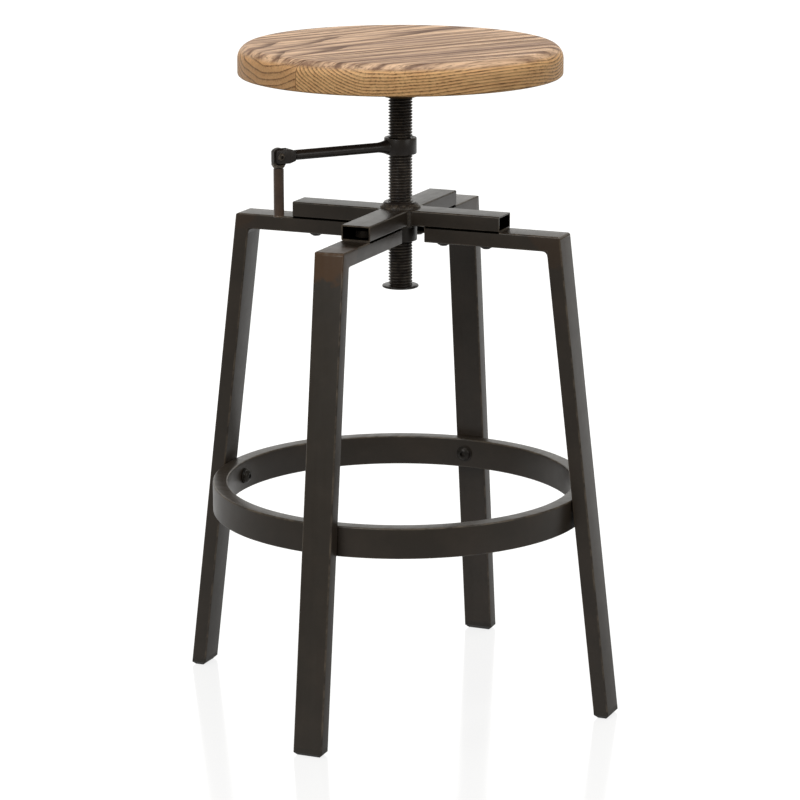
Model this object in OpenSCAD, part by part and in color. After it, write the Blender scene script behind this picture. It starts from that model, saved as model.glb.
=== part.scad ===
// Screw-height bar stool: a round wooden seat that swivels on a threaded column,
// a crank that turns the column in a sleeve nut, and a four-legged steel frame with a ring footrest.
// Millimetres, +Z up. The origin lies on the floor, on the column's axis.
// The legs stand on +X (east), +Y (north), -X (west) and -Y (south).

/* [Tube stock] */
// Width of the rectangular tube that makes the frame
tube_w = 30.5; // [26:0.5:36]
// Depth of that tube, top to bottom on a rail and inside to outside on a post
tube_h = 15.5; // [13:0.5:18]
// Wall of the tube
tube_wall = 1.5; // [1.2:0.1:2]
// Outer corner radius of the tube
tube_r = 1.6; // [1.2:0.1:2.6]

/* [Frame] */
// Height of the cross arms' top face above the floor
arm_top = 501.5; // [470:0.5:540]
// Distance from the axis to the open end of a cross arm
arm_reach = 111; // [105:1:120]
// Distance from the axis to the inner end of a leg rail
rail_start = 32; // [27:1:36]
// Distance from the axis to a leg's top outer corner
leg_reach = 174.5; // [165:0.5:190]
// Radius ground on a leg's top outer corner
leg_corner_r = 4; // [2:0.5:4.5]
// Distance from the axis to a leg's outer face at the floor
foot_reach = 232; // [215:0.5:250]
// Leg length of the weld beads in the legs' inner corners
corner_bead = 4.5; // [3:0.5:6]

/* [Feet] */
// Height of a foot plug's visible part
plug_h = 8; // [6:0.5:12]
// Chamfer around the bottom of a foot plug
plug_chamfer = 3.5; // [2:0.25:5]
// Length of the plug inside the tube
plug_insert = 18; // [12:1:30]
// Gap between the plug and the tube's inside
plug_gap = 0.1; // [0.05:0.05:0.2]

/* [Footrest ring] */
// Height of the ring's top edge above the floor
ring_top = 222.5; // [190:0.5:260]
// Height of the ring's own section
ring_h = 30.5; // [26:0.5:34]
// Radial depth of the ring's own section
ring_t = 15; // [13:0.5:18]
// Gap between the ring's top edge and the posts' inner faces
ring_gap = 0.1; // [0.05:0.05:0.3]

/* [Ring bolts] */
// Thread diameter of the bolts that hold the ring
ring_bolt_d = 8; // [6:1:10]
// Head diameter of those bolts
ring_head_d = 14; // [12:0.5:16]
// Head height of those bolts
ring_head_h = 4.4; // [3:0.2:5]
// Outer diameter of the washers under the heads
ring_washer_d = 16; // [15:0.5:18]
// Thickness of those washers
ring_washer_t = 1.6; // [1:0.1:2]
// Width across flats of the nuts inside the posts
ring_nut_af = 13; // [12:0.5:15]
// Thickness of those nuts
ring_nut_t = 6.5; // [5:0.5:7]

/* [Rail bolts] */
// Distance from the axis to the inner bolt of each rail
rail_bolt_in = 46.5; // [44:0.5:52]
// Distance from the axis to the outer bolt of each rail
rail_bolt_out = 92; // [80:0.5:97]
// Thread diameter of the rail bolts
rail_bolt_d = 8; // [6:1:8]
// Head diameter of the rail bolts
rail_head_d = 14; // [12:0.5:16]
// Head height of the rail bolts
rail_head_h = 4.4; // [3:0.1:5]
// Width across flats of the nuts inside the cross arms
rail_nut_af = 13; // [12:0.5:15]
// Thickness of those nuts
rail_nut_t = 6.5; // [5:0.5:7]

/* [Sleeve nut] */
// Outer diameter of the sleeve nut
sleeve_d = 33.4; // [31:0.2:37]
// How far the sleeve stands above the cross arms
sleeve_over = 6; // [3:0.5:8]
// How far the sleeve hangs below the leg rails
sleeve_under = 2; // [1:0.5:10]
// Leg length of the weld beads around the sleeve
hub_bead = 3.6; // [2:0.2:4]

/* [Height screw] */
// Outer diameter of the thread
thread_d = 24; // [22:0.5:27]
// Pitch of the thread
pitch = 3; // [2.5:0.5:4]
// Depth of the thread
thread_depth = 1.84; // [1.5:0.01:2]
// Number of thread turns on the screw
thread_turns = 63; // [60:1:66]
// Height of the top of the thread above the floor
thread_top = 612; // [608:1:620]
// Running gap between the thread's crests and the sleeve's bore, on the radius
thread_gap = 0.05; // [0.03:0.01:0.1]
// Diameter of the plain spigot above the thread
spigot_d = 18; // [16:0.5:19]

/* [Stop disc] */
// Diameter of the disc under the screw
stop_d = 36.5; // [34:0.5:44]
// Thickness of the disc
stop_t = 2.3; // [1.5:0.1:4]
// Thread diameter of the bolt that holds the disc
stop_bolt_d = 8; // [6:1:10]
// Head diameter of that bolt
stop_head_d = 12; // [11:0.5:16]
// Head height of that bolt
stop_head_h = 2.6; // [2:0.1:5]
// Depth of that bolt in the screw
stop_bolt_len = 15; // [10:1:25]

/* [Crank] */
// Direction in which the crank points, measured from +X
crank_angle = 232; // [225:1:243]
// Height of the crank arm's centre line above the floor
crank_z = 563; // [560:1:570]
// Outer diameter of the crank's hub
hub_d = 32.4; // [31:0.2:38]
// Height of the crank's hub
hub_h = 16.5; // [14:0.5:18]
// How far the hub's middle lies above the arm's centre line
hub_rise = 0.5; // [0:0.25:1.5]
// Diameter of the crank's round arm
arm_d = 10; // [9:0.5:11]
// Distance from the axis to the handle's pivot
crank_r = 135.5; // [132:0.5:142]
// Height of the flattened fork, and twice its end radius
fork_h = 14; // [13:0.5:15]
// Width of the fork across its two cheeks
fork_w = 12; // [11:0.5:13]
// Width of the slot between the cheeks
fork_slot = 6; // [5.5:0.25:6.5]
// Distance from the pivot back to where the fork meets the round arm
fork_back = 16.5; // [15:0.5:18]
// Thread diameter of the screw that locks the hub on the column
grub_d = 6; // [5:1:8]

/* [Handle] */
// Radius of the handle's round tongue in the fork
tongue_r = 8.5; // [8:0.1:8.8]
// Gap between the tongue and each cheek
tongue_gap = 0.2; // [0.1:0.05:0.4]
// Diameter of the pivot screw's shank
pivot_d = 5; // [4:0.5:6]
// Diameter of the pivot screw's head
pivot_head_d = 7.6; // [7:0.2:9]
// Height of the pivot screw's head
pivot_head_h = 2; // [1.5:0.1:3]
// Diameter of the neck where it leaves the fork
neck_d = 13; // [12:0.5:13.5]
// Length from the pivot to the top of the neck
neck_start = 7.6; // [7.5:0.1:7.8]
// Length from the pivot to the end of the neck
neck_end = 12.2; // [11.5:0.1:13]
// Diameter of the spindle inside the grip
spindle_d = 6; // [5:0.5:7]
// Outer diameter of the grip sleeve
grip_d = 10.2; // [9.5:0.1:12]
// Length of the grip sleeve
grip_len = 47; // [42:0.5:47]
// Diameter of the lip at the grip's lower end
grip_lip_d = 11.2; // [10.8:0.2:13]
// Diameter of the riveted end that keeps the grip on
rivet_d = 8; // [7:0.5:9]

/* [Seat] */
// Diameter of the seat
seat_d = 321; // [300:1:360]
// Thickness of the seat
seat_t = 30; // [26:1:36]
// Radius of the seat's top edge
seat_top_r = 13.5; // [4:0.5:15]
// Radius of the seat's bottom edge
seat_bottom_r = 2.5; // [1:0.5:4]
// Direction of the wood's grain, measured from +X
grain_angle = 58; // [0:1:180]
// Distance from the axis to the glue line in front of it
glue_front = 46; // [30:1:50]
// Distance from the axis to the glue line behind it
glue_back = 80; // [60:1:100]

/* [Seat fixings] */
// Diameter of the steel plate under the seat
plate_d = 132; // [120:1:160]
// Thickness of that plate
plate_t = 4; // [3:0.5:6]
// Outer diameter of the socket welded under the plate
socket_d = 34; // [32:0.5:40]
// Length of that socket
socket_len = 16.5; // [12:0.5:20]
// Wall of the bush between the spigot and the socket
bush_wall = 3; // [2:0.25:3.5]
// Thickness of the bush's flange, on which the seat turns
bush_flange = 2; // [1.5:0.1:3]
// Gap between faces that turn on each other
face_gap = 0.1; // [0.05:0.05:0.2]
// Distance from the axis to the wood screws
wood_screw_r = 52; // [46:1:58]
// Shank diameter of the wood screws
wood_screw_d = 4.5; // [4:0.5:6]
// Length of the wood screws below the seat's underside
wood_screw_len = 20; // [14:1:24]
// Diameter of the retaining washer on top of the spigot
keeper_d = 29; // [28:0.5:32]
// Thickness of the retaining washer
keeper_t = 2.5; // [2:0.1:3]
// Thread diameter of the retaining bolt
keeper_bolt_d = 10; // [8:1:12]
// Width across flats of the retaining bolt's head
keeper_af = 17; // [16:0.5:19]
// Height of the retaining bolt's head
keeper_head_h = 6.4; // [5:0.2:7]

/* [Hidden] */
$fn = 64;

// Directions of the four legs
east = 0;
north = 90;
west = 180;
south = 270;
legs = [east, north, west, south];

// Clearance on the radius of holes that a bolt passes through, and of pins that turn
bolt_gap = 0.2;
pin_gap = 0.05;
// How far a cutting shape runs past the face it cuts
past = 5;
// Length of a cutting shape that has to reach past everything
far = 400;

rail_top = arm_top - tube_h;
rail_under = rail_top - tube_h;
sleeve_top = arm_top + sleeve_over;
sleeve_bottom = rail_under - sleeve_under;
sleeve_bore = thread_d / 2 + thread_gap;

// The posts lean outwards by this angle from the vertical
splay = atan((foot_reach - leg_reach) / rail_top);
mitre_tilt = (90 - splay) / 2;
post_slope = tube_h / cos(splay);
function post_outer(z) = foot_reach - z * tan(splay);
function post_inner(z) = post_outer(z) - post_slope;

ring_mid = ring_top - ring_h / 2;
ring_out = post_inner(ring_top) - ring_gap;
ring_in = ring_out - ring_t;
washer_back = sqrt(pow(ring_in, 2) - pow(ring_washer_d / 2, 2));
ring_head_back = washer_back - ring_washer_t;
ring_nut_end = post_inner(ring_mid) + tube_wall + ring_nut_t;

thread_bottom = thread_top - thread_turns * pitch;
stop_under = thread_bottom - stop_t;
seat_bottom = thread_top + bush_flange + socket_len + plate_t;
seat_top = seat_bottom + seat_t;
bush_outer = spigot_d / 2 + pin_gap + bush_wall;
spigot_top = seat_bottom + 0.5;
keeper_hole_len = 18;
pocket_d = keeper_d + 11;
pocket_h = keeper_t + keeper_head_h + 5;

grip_start = neck_end + 0.3;
grip_end = grip_start + grip_len;
rivet_h = 0.6;
stem_end = grip_end + 0.3 + rivet_h;

steel = [0.21, 0.19, 0.18];
zinc = [0.30, 0.29, 0.28];
bronze = [0.60, 0.45, 0.22];
plastic = [0.08, 0.08, 0.08];
wood = [0.78, 0.62, 0.45];

// Shared shapes

// Outline of the tube, centred, with true round corners
module tube_outline(w, h, r) {
    square([w - 2 * r, h], center = true);
    square([w, h - 2 * r], center = true);
    for (x = [-1, 1], y = [-1, 1])
        translate([x * (w / 2 - r), y * (h / 2 - r)]) circle(r = r);
}

// Wall of a hollow tube as a flat outline
module tube_section(w, h, wall, r) {
    difference() {
        tube_outline(w, h, r);
        tube_outline(w - 2 * wall, h - 2 * wall, max(0.2, r - wall + 0.5));
    }
}

// A horizontal tube along +X, its top face at height top
module level_tube(from, to, top) {
    translate([from, 0, top - tube_h / 2]) rotate([90, 0, 90])
        linear_extrude(to - from) tube_section(tube_w, tube_h, tube_wall, tube_r);
}

// Places its children in the frame of the post that leans on +X:
// the outer face lies at x = 0, the floor at z = 0
module in_post() {
    translate([foot_reach, 0, 0]) rotate([0, -splay, 0]) children();
}

// Everything on the post's side of the mitre, or on the rail's side
module mitre_cut(side) {
    translate([leg_reach, 0, rail_top]) rotate([0, mitre_tilt, 0])
        translate([side > 0 ? 0 : -far, -far / 2, -far / 2]) cube([far, far, far]);
}

// What is ground off a leg's top outer corner, its round tangent to the rail's top and the post's face
module corner_round() {
    half = 90 - mitre_tilt;
    reach = leg_corner_r / tan(half);
    translate([leg_reach, tube_w, rail_top]) rotate([90, mitre_tilt, 0]) linear_extrude(2 * tube_w)
        difference() {
            polygon([[0, past], [reach * sin(half) + past, past - reach * cos(half)],
                     [reach * sin(half), -reach * cos(half)], [-reach * sin(half), -reach * cos(half)],
                     [-reach * sin(half) - past, past - reach * cos(half)]]);
            translate([0, -leg_corner_r / sin(half)]) circle(r = leg_corner_r);
        }
}

// Domed socket head on a shank, head up, the shank below z = 0
module button_bolt(d, head_d, head_h, len) {
    socket_r = d * 0.36;
    difference() {
        union() {
            rotate_extrude()
                polygon([[0, 0], [head_d / 2, 0], [head_d / 2, head_h * 0.25],
                         [head_d * 0.42, head_h * 0.66], [head_d * 0.29, head_h], [0, head_h]]);
            translate([0, 0, -len]) cylinder(d = d, h = len + head_h / 4);
        }
        translate([0, 0, head_h * 0.45]) cylinder(r = socket_r, h = head_h, $fn = 6);
    }
}

// Hexagon nut with its thread hole, standing on z = 0
module hex_nut(af, thickness, hole_d) {
    difference() {
        cylinder(r = af / sqrt(3), h = thickness, $fn = 6);
        translate([0, 0, -past]) cylinder(d = hole_d, h = thickness + 2 * past);
    }
}

// Places its children at each rail bolt
module at_rail_bolts() {
    for (a = legs, x = [rail_bolt_in, rail_bolt_out])
        rotate([0, 0, a]) translate([x, 0, 0]) children();
}

// Seat

// The whole turned disc, grain along its own X axis, with the pocket and screw holes
module seat_disc() {
    difference() {
        rotate_extrude($fn = 180) difference() {
            union() {
                translate([0, seat_bottom_r]) square([seat_d / 2, seat_t - seat_top_r - seat_bottom_r]);
                square([seat_d / 2 - seat_bottom_r, seat_t - seat_top_r]);
                square([seat_d / 2 - seat_top_r, seat_t]);
                translate([seat_d / 2 - seat_top_r, seat_t - seat_top_r]) circle(r = seat_top_r);
                translate([seat_d / 2 - seat_bottom_r, seat_bottom_r]) circle(r = seat_bottom_r);
            }
            translate([-far, -past]) square([far, seat_t + 2 * past]);
        }
        translate([0, 0, -past]) cylinder(d = pocket_d, h = past + pocket_h);
        for (a = legs) rotate([0, 0, a]) translate([wood_screw_r, 0, -past])
            cylinder(d = wood_screw_d + 2 * pin_gap, h = past + wood_screw_len);
    }
}

// The stave of the seat between two distances across the grain
module seat_board(low, high) {
    color(wood) translate([0, 0, seat_bottom]) rotate([0, 0, grain_angle]) intersection() {
        seat_disc();
        translate([-far / 2, low, -past]) cube([far, high - low, seat_t + 2 * past]);
    }
}

module seat_plate() {
    plate_z = seat_bottom - plate_t;
    color(steel) difference() {
        union() {
            translate([0, 0, plate_z]) cylinder(d = plate_d, h = plate_t, $fn = 120);
            translate([0, 0, plate_z - socket_len + face_gap])
                cylinder(d = socket_d, h = socket_len - face_gap);
        }
        translate([0, 0, plate_z - far / 2]) cylinder(r = bush_outer + pin_gap, h = far);
        for (a = legs) rotate([0, 0, grain_angle + a]) translate([wood_screw_r, 0, plate_z]) {
            translate([0, 0, -past]) cylinder(d = wood_screw_d + 2 * bolt_gap, h = plate_t + 2 * past);
            translate([0, 0, -0.01])
                cylinder(r1 = wood_screw_d + bolt_gap, r2 = wood_screw_d / 2 + bolt_gap, h = plate_t * 0.6);
        }
    }
}

module seat_screws() {
    head_h = plate_t * 0.6;
    color(zinc) for (a = legs) rotate([0, 0, grain_angle + a])
        translate([wood_screw_r, 0, seat_bottom - plate_t]) difference() {
            union() {
                cylinder(r1 = wood_screw_d, r2 = wood_screw_d / 2, h = head_h);
                cylinder(d = wood_screw_d, h = plate_t + wood_screw_len - 4);
                translate([0, 0, plate_t + wood_screw_len - 4])
                    cylinder(d1 = wood_screw_d, d2 = 1, h = 3.5);
            }
            for (turn = [0, 90]) rotate([0, 0, turn]) cube([wood_screw_d, 1, 2.4], center = true);
        }
}

module seat_bush() {
    color(bronze) translate([0, 0, thread_top + face_gap]) difference() {
        union() {
            cylinder(r = bush_outer, h = bush_flange + socket_len + plate_t - 0.6);
            cylinder(d = socket_d - 2, h = bush_flange - face_gap);
        }
        translate([0, 0, -past]) cylinder(r = spigot_d / 2 + pin_gap, h = far);
    }
}

module keeper_washer() {
    color(zinc) translate([0, 0, spigot_top]) difference() {
        cylinder(d = keeper_d, h = keeper_t);
        translate([0, 0, -past]) cylinder(d = keeper_bolt_d + 2 * bolt_gap, h = keeper_t + 2 * past);
    }
}

module keeper_bolt() {
    color(zinc) translate([0, 0, spigot_top + keeper_t]) {
        cylinder(r = keeper_af / sqrt(3), h = keeper_head_h, $fn = 6);
        translate([0, 0, 1 - keeper_hole_len]) cylinder(d = keeper_bolt_d, h = keeper_hole_len);
    }
}

// Column

// Half profile of the thread: a crest, a flank, a root and a flank for each turn
function thread_profile() = [
    for (i = [0 : thread_turns - 1], k = [0 : 3])
        [thread_d / 2 - (k < 2 ? 0 : thread_depth),
         thread_bottom + pitch * (i + [0, 1 / 8, 7 / 16, 11 / 16][k])]
];

module height_screw() {
    color(steel) difference() {
        union() {
            rotate_extrude() polygon(concat(
                [[0, thread_bottom]], thread_profile(),
                [[thread_d / 2, thread_top], [0, thread_top]]));
            translate([0, 0, thread_top - 1]) cylinder(d = spigot_d, h = spigot_top - thread_top + 1);
        }
        translate([0, 0, spigot_top - keeper_hole_len]) cylinder(d = keeper_bolt_d + 2 * pin_gap, h = far);
        translate([0, 0, thread_bottom - past])
            cylinder(d = stop_bolt_d + 2 * pin_gap, h = stop_bolt_len + 2 + past);
        rotate([0, 0, crank_angle + 180]) translate([thread_d / 2 - 1, 0, crank_z]) rotate([0, 90, 0])
            cylinder(d = grub_d + 2 * pin_gap, h = past);
    }
}

module stop_disc() {
    color(steel) translate([0, 0, stop_under]) rotate_extrude() difference() {
        polygon([[0, 0], [stop_d / 2 - 0.8, 0], [stop_d / 2, stop_t * 0.35],
                 [stop_d / 2, stop_t * 0.65], [stop_d / 2 - 0.8, stop_t], [0, stop_t]]);
        translate([-past, -past]) square([past + stop_bolt_d / 2 + bolt_gap, stop_t + 2 * past]);
    }
}

module stop_bolt() {
    color(zinc) translate([0, 0, stop_under]) rotate([180, 0, 0])
        button_bolt(stop_bolt_d, stop_head_d, stop_head_h, stop_bolt_len + stop_t);
}

// Crank

// Places its children in the crank's own frame: +X along the arm, z = 0 on its centre line
module in_crank() {
    rotate([0, 0, crank_angle]) translate([0, 0, crank_z]) children();
}

// Side view of the fork: a round end and shoulders that narrow to the round arm
module fork_side() {
    translate([crank_r, 0]) circle(d = fork_h);
    polygon([[crank_r, -fork_h / 2], [crank_r, fork_h / 2],
             [crank_r - fork_back * 0.6, fork_h / 2], [crank_r - fork_back, arm_d / 2],
             [crank_r - fork_back, -arm_d / 2], [crank_r - fork_back * 0.6, -fork_h / 2]]);
}

module crank() {
    slot_back = tongue_r + 0.8;
    color(steel) in_crank() difference() {
        union() {
            translate([0, 0, hub_rise - hub_h / 2]) cylinder(d = hub_d, h = hub_h);
            rotate([0, 90, 0]) cylinder(d = arm_d, h = crank_r - fork_back + 1);
            translate([hub_d / 2 - 2, 0, 0]) rotate([0, 90, 0])
                cylinder(r1 = hub_h / 2 - hub_rise - 0.3, r2 = arm_d / 2, h = 9);
            translate([0, fork_w / 2, 0]) rotate([90, 0, 0]) linear_extrude(fork_w) fork_side();
        }
        cylinder(r = sleeve_bore, h = far, center = true);
        translate([crank_r - slot_back, -fork_slot / 2, -far / 2]) cube([far, fork_slot, far]);
        translate([crank_r, 0, 0]) rotate([90, 0, 0])
            cylinder(d = pivot_d + 2 * pin_gap, h = 2 * fork_w, center = true);
        rotate([0, -90, 0]) cylinder(d = grub_d + 2 * pin_gap, h = hub_d);
    }
}

module hub_grub_screw() {
    grub_len = hub_d / 2 - thread_d / 2 + 0.4;
    color(zinc) in_crank() translate([-thread_d / 2 + 0.8, 0, 0]) rotate([0, -90, 0]) difference() {
        cylinder(d = grub_d, h = grub_len);
        translate([0, 0, grub_len - 2.5]) cylinder(r = grub_d * 0.28, h = 3, $fn = 6);
    }
}

module handle_pivot() {
    cross = pivot_head_d * 0.55;
    tail_h = 1.5;
    color(zinc) in_crank() translate([crank_r, 0, 0]) rotate([-90, 0, 0]) difference() {
        union() {
            translate([0, 0, -fork_w / 2 - tail_h]) cylinder(d = pivot_d, h = fork_w + 2 * tail_h);
            translate([0, 0, fork_w / 2])
                cylinder(d1 = pivot_head_d, d2 = pivot_head_d * 0.8, h = pivot_head_h);
            translate([0, 0, -fork_w / 2 - tail_h]) cylinder(d = pivot_d + 2, h = tail_h);
        }
        for (turn = [20, 110]) rotate([0, 0, turn]) translate([0, 0, fork_w / 2 + pivot_head_h])
            cube([cross, 1, pivot_head_h], center = true);
    }
}

// Handle, hanging from its pivot

module handle_stem() {
    tongue_t = fork_slot - 2 * tongue_gap;
    color(steel) in_crank() translate([crank_r, 0, 0]) difference() {
        union() {
            rotate([90, 0, 0]) linear_extrude(tongue_t, center = true) intersection() {
                circle(r = tongue_r);
                square([neck_d, 2 * tongue_r], center = true);
            }
            translate([-neck_d / 2, -tongue_t / 2, -neck_start - 0.5])
                cube([neck_d, tongue_t, neck_start + 0.5]);
            translate([0, 0, -neck_start - 1.2]) cylinder(d = neck_d, h = 1.2);
            translate([0, 0, -neck_end])
                cylinder(d1 = grip_d, d2 = neck_d, h = neck_end - neck_start - 1.2);
            translate([0, 0, -stem_end]) cylinder(d = spindle_d, h = stem_end - neck_end + 1);
            translate([0, 0, -stem_end]) cylinder(d1 = rivet_d - 1.5, d2 = rivet_d, h = rivet_h);
        }
        rotate([90, 0, 0]) cylinder(d = pivot_d + 2 * pin_gap, h = 2 * fork_w, center = true);
    }
}

module grip_sleeve() {
    lip_h = 1.4;
    color(steel) in_crank() translate([crank_r, 0, -grip_end]) difference() {
        union() {
            cylinder(d = grip_d, h = grip_len);
            cylinder(d = grip_lip_d, h = lip_h);
        }
        translate([0, 0, -past]) cylinder(d = spindle_d + 2 * pin_gap, h = far);
    }
}

// Frame

module sleeve_nut() {
    color(steel) translate([0, 0, sleeve_bottom]) difference() {
        cylinder(d = sleeve_d, h = sleeve_top - sleeve_bottom);
        translate([0, 0, -past]) cylinder(r = sleeve_bore, h = far);
        translate([0, 0, sleeve_top - sleeve_bottom - 1])
            cylinder(r1 = sleeve_bore, r2 = sleeve_bore + 2, h = 2);
    }
}

// Ring beads above and below the arms, and a bead in each corner between two arms
module hub_welds() {
    color(steel) {
        rotate_extrude() {
            polygon([[sleeve_d / 2, arm_top], [sleeve_d / 2 + hub_bead, arm_top],
                     [sleeve_d / 2, arm_top + hub_bead]]);
            polygon([[sleeve_d / 2, rail_top], [sleeve_d / 2 + hub_bead, rail_top],
                     [sleeve_d / 2, rail_top - hub_bead]]);
        }
        for (a = legs) rotate([0, 0, a + 45]) translate([tube_w / sqrt(2), 0, rail_top + tube_r])
            rotate([0, 0, -45]) linear_extrude(tube_h - 2 * tube_r)
                polygon([[0, 0], [hub_bead, 0], [0, hub_bead]]);
    }
}

module cross_arm(direction) {
    color(steel) rotate([0, 0, direction]) difference() {
        level_tube(0, arm_reach, arm_top);
        translate([0, 0, arm_top - far / 2]) cylinder(d = sleeve_d, h = far);
        for (side = [-1, 1]) rotate([0, 0, side * 45])
            translate([-far / 2, side > 0 ? 0 : -far, arm_top - far / 2]) cube([far, far, far]);
        for (x = [rail_bolt_in, rail_bolt_out]) translate([x, 0, rail_top - past])
            cylinder(d = rail_bolt_d + 2 * bolt_gap, h = past + tube_h / 2);
    }
}

module leg_rail(direction) {
    color(steel) rotate([0, 0, direction]) difference() {
        level_tube(rail_start, leg_reach + past, rail_top);
        mitre_cut(1);
        corner_round();
        for (x = [rail_bolt_in, rail_bolt_out]) translate([x, 0, rail_under - past])
            cylinder(d = rail_bolt_d + 2 * bolt_gap, h = tube_h + 2 * past);
    }
}

module leg_post(direction) {
    color(steel) rotate([0, 0, direction]) difference() {
        in_post() translate([-tube_h / 2, 0, -past]) rotate([0, 0, 90])
            linear_extrude(rail_top / cos(splay) + 2 * past)
                tube_section(tube_w, tube_h, tube_wall, tube_r);
        mitre_cut(-1);
        corner_round();
        translate([0, -far / 2, plug_h - far]) cube([far, far, far]);
        translate([ring_in, 0, ring_mid]) rotate([0, 90, 0])
            cylinder(d = ring_bolt_d + 2 * bolt_gap, h = post_inner(ring_mid) + tube_h / 2 - ring_in);
    }
}

// A flat bead across the inside of each leg's corner
module corner_welds() {
    color(steel) for (a = legs) rotate([0, 0, a])
        translate([post_inner(rail_under), tube_w / 2 - tube_r, rail_under]) rotate([90, 0, 0])
            linear_extrude(tube_w - 2 * tube_r)
                polygon([[0, 0], [-corner_bead, 0], [corner_bead * sin(splay), -corner_bead * cos(splay)]]);
}

module rail_bolts() {
    color(zinc) at_rail_bolts() translate([0, 0, rail_under]) rotate([180, 0, 0])
        button_bolt(rail_bolt_d, rail_head_d, rail_head_h, tube_h + tube_wall + rail_nut_t + 2);
}

module rail_nuts() {
    color(zinc) at_rail_bolts() translate([0, 0, rail_top + tube_wall])
        hex_nut(rail_nut_af, rail_nut_t, rail_bolt_d + 2 * pin_gap);
}

module footrest_ring() {
    color(steel) difference() {
        translate([0, 0, ring_mid]) rotate_extrude($fn = 180) translate([ring_in + ring_t / 2, 0])
            tube_section(ring_t, ring_h, tube_wall, tube_r);
        for (a = legs) rotate([0, 0, a]) translate([ring_in - past, 0, ring_mid]) rotate([0, 90, 0])
            cylinder(d = ring_bolt_d + 2 * bolt_gap, h = ring_t + 2 * past);
    }
}

module ring_washers() {
    color(zinc) for (a = legs) rotate([0, 0, a]) translate([ring_head_back, 0, ring_mid])
        rotate([0, 90, 0]) difference() {
            cylinder(d = ring_washer_d, h = ring_washer_t);
            translate([0, 0, -past]) cylinder(d = ring_bolt_d + 2 * bolt_gap, h = ring_washer_t + 2 * past);
        }
}

module ring_bolts() {
    color(zinc) for (a = legs) rotate([0, 0, a]) translate([ring_head_back, 0, ring_mid])
        rotate([0, -90, 0])
            button_bolt(ring_bolt_d, ring_head_d, ring_head_h, ring_nut_end + 1.5 - ring_head_back);
}

// Nuts inside the posts, dressed to the slope of the wall
module ring_nuts() {
    color(zinc) for (a = legs) rotate([0, 0, a]) intersection() {
        translate([post_inner(ring_mid), 0, ring_mid]) rotate([0, 90, 0])
            hex_nut(ring_nut_af, tube_wall + ring_nut_t, ring_bolt_d + 2 * pin_gap);
        in_post() translate([-tube_h / 2, 0, 0]) rotate([0, 0, 90]) linear_extrude(far)
            square([tube_w - 2 * tube_wall - 2 * pin_gap, tube_h - 2 * tube_wall - 2 * pin_gap],
                   center = true);
    }
}

// Chamfered plug under the post, with a stub inside the tube
module foot_plug(direction) {
    low_out = foot_reach;
    low_in = foot_reach - post_slope;
    shift = plug_h * tan(splay);
    color(plastic) rotate([0, 0, direction]) {
        intersection() {
            in_post() translate([-tube_h / 2, 0, -past]) rotate([0, 0, 90])
                linear_extrude(plug_h + 2 * past) tube_outline(tube_w, tube_h, tube_r);
            translate([0, tube_w, 0]) rotate([90, 0, 0]) linear_extrude(2 * tube_w)
                polygon([[low_in + plug_chamfer, 0], [low_out - plug_chamfer, 0],
                         [low_out + 1, plug_chamfer + 1], [low_out - shift + 1, plug_h],
                         [low_in - shift - 1, plug_h], [low_in - 1, plug_chamfer + 1]]);
            translate([low_in - past, 0, 0]) rotate([90, 0, 90]) linear_extrude(tube_h + 3 * past)
                polygon([[-tube_w / 2 + plug_chamfer, 0], [tube_w / 2 - plug_chamfer, 0],
                         [tube_w / 2 + 1, plug_chamfer + 1], [tube_w / 2 + 1, plug_h],
                         [-tube_w / 2 - 1, plug_h], [-tube_w / 2 - 1, plug_chamfer + 1]]);
        }
        intersection() {
            in_post() translate([-tube_h / 2, 0, 0]) rotate([0, 0, 90]) linear_extrude(plug_h + plug_insert)
                square([tube_w - 2 * tube_wall - 2 * plug_gap - 1, tube_h - 2 * tube_wall - 2 * plug_gap],
                       center = true);
            translate([0, -far / 2, plug_h - 1]) cube([far, far, far]);
        }
    }
}

seat_board(glue_back, seat_d);  // seat_board_back
seat_board(-glue_front, glue_back);  // seat_board_middle
seat_board(-seat_d, -glue_front);  // seat_board_front
seat_plate();
seat_screws();
seat_bush();
keeper_washer();
keeper_bolt();
height_screw();
stop_disc();
stop_bolt();
crank();
hub_grub_screw();
handle_pivot();
handle_stem();
grip_sleeve();
sleeve_nut();
hub_welds();
cross_arm(east);  // cross_arm_east
cross_arm(north);  // cross_arm_north
cross_arm(west);  // cross_arm_west
cross_arm(south);  // cross_arm_south
leg_rail(east);  // leg_rail_east
leg_rail(north);  // leg_rail_north
leg_rail(west);  // leg_rail_west
leg_rail(south);  // leg_rail_south
leg_post(east);  // leg_post_east
leg_post(north);  // leg_post_north
leg_post(west);  // leg_post_west
leg_post(south);  // leg_post_south
corner_welds();
rail_bolts();
rail_nuts();
footrest_ring();
ring_washers();
ring_bolts();
ring_nuts();
foot_plug(east);  // foot_plug_east
foot_plug(north);  // foot_plug_north
foot_plug(west);  // foot_plug_west
foot_plug(south);  // foot_plug_south
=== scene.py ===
"""Looks of a screw-height bar stool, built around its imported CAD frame.

Meshes are drawn in millimetres in the part's own frame and brought to metres as each piece is finished.
The origin is on the floor, on the column's axis, and the legs stand on +X, +Y, -X and -Y.
"""

import logging
import math
from dataclasses import dataclass
from enum import Enum
from typing import Any, Callable, Optional, Sequence

import bmesh
import bpy
from bmesh.types import BMEdge, BMesh, BMFace, BMVert
from bpy.types import Material, Node, NodeSocket, NodeTree
from mathutils import Matrix, Vector, noise


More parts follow.
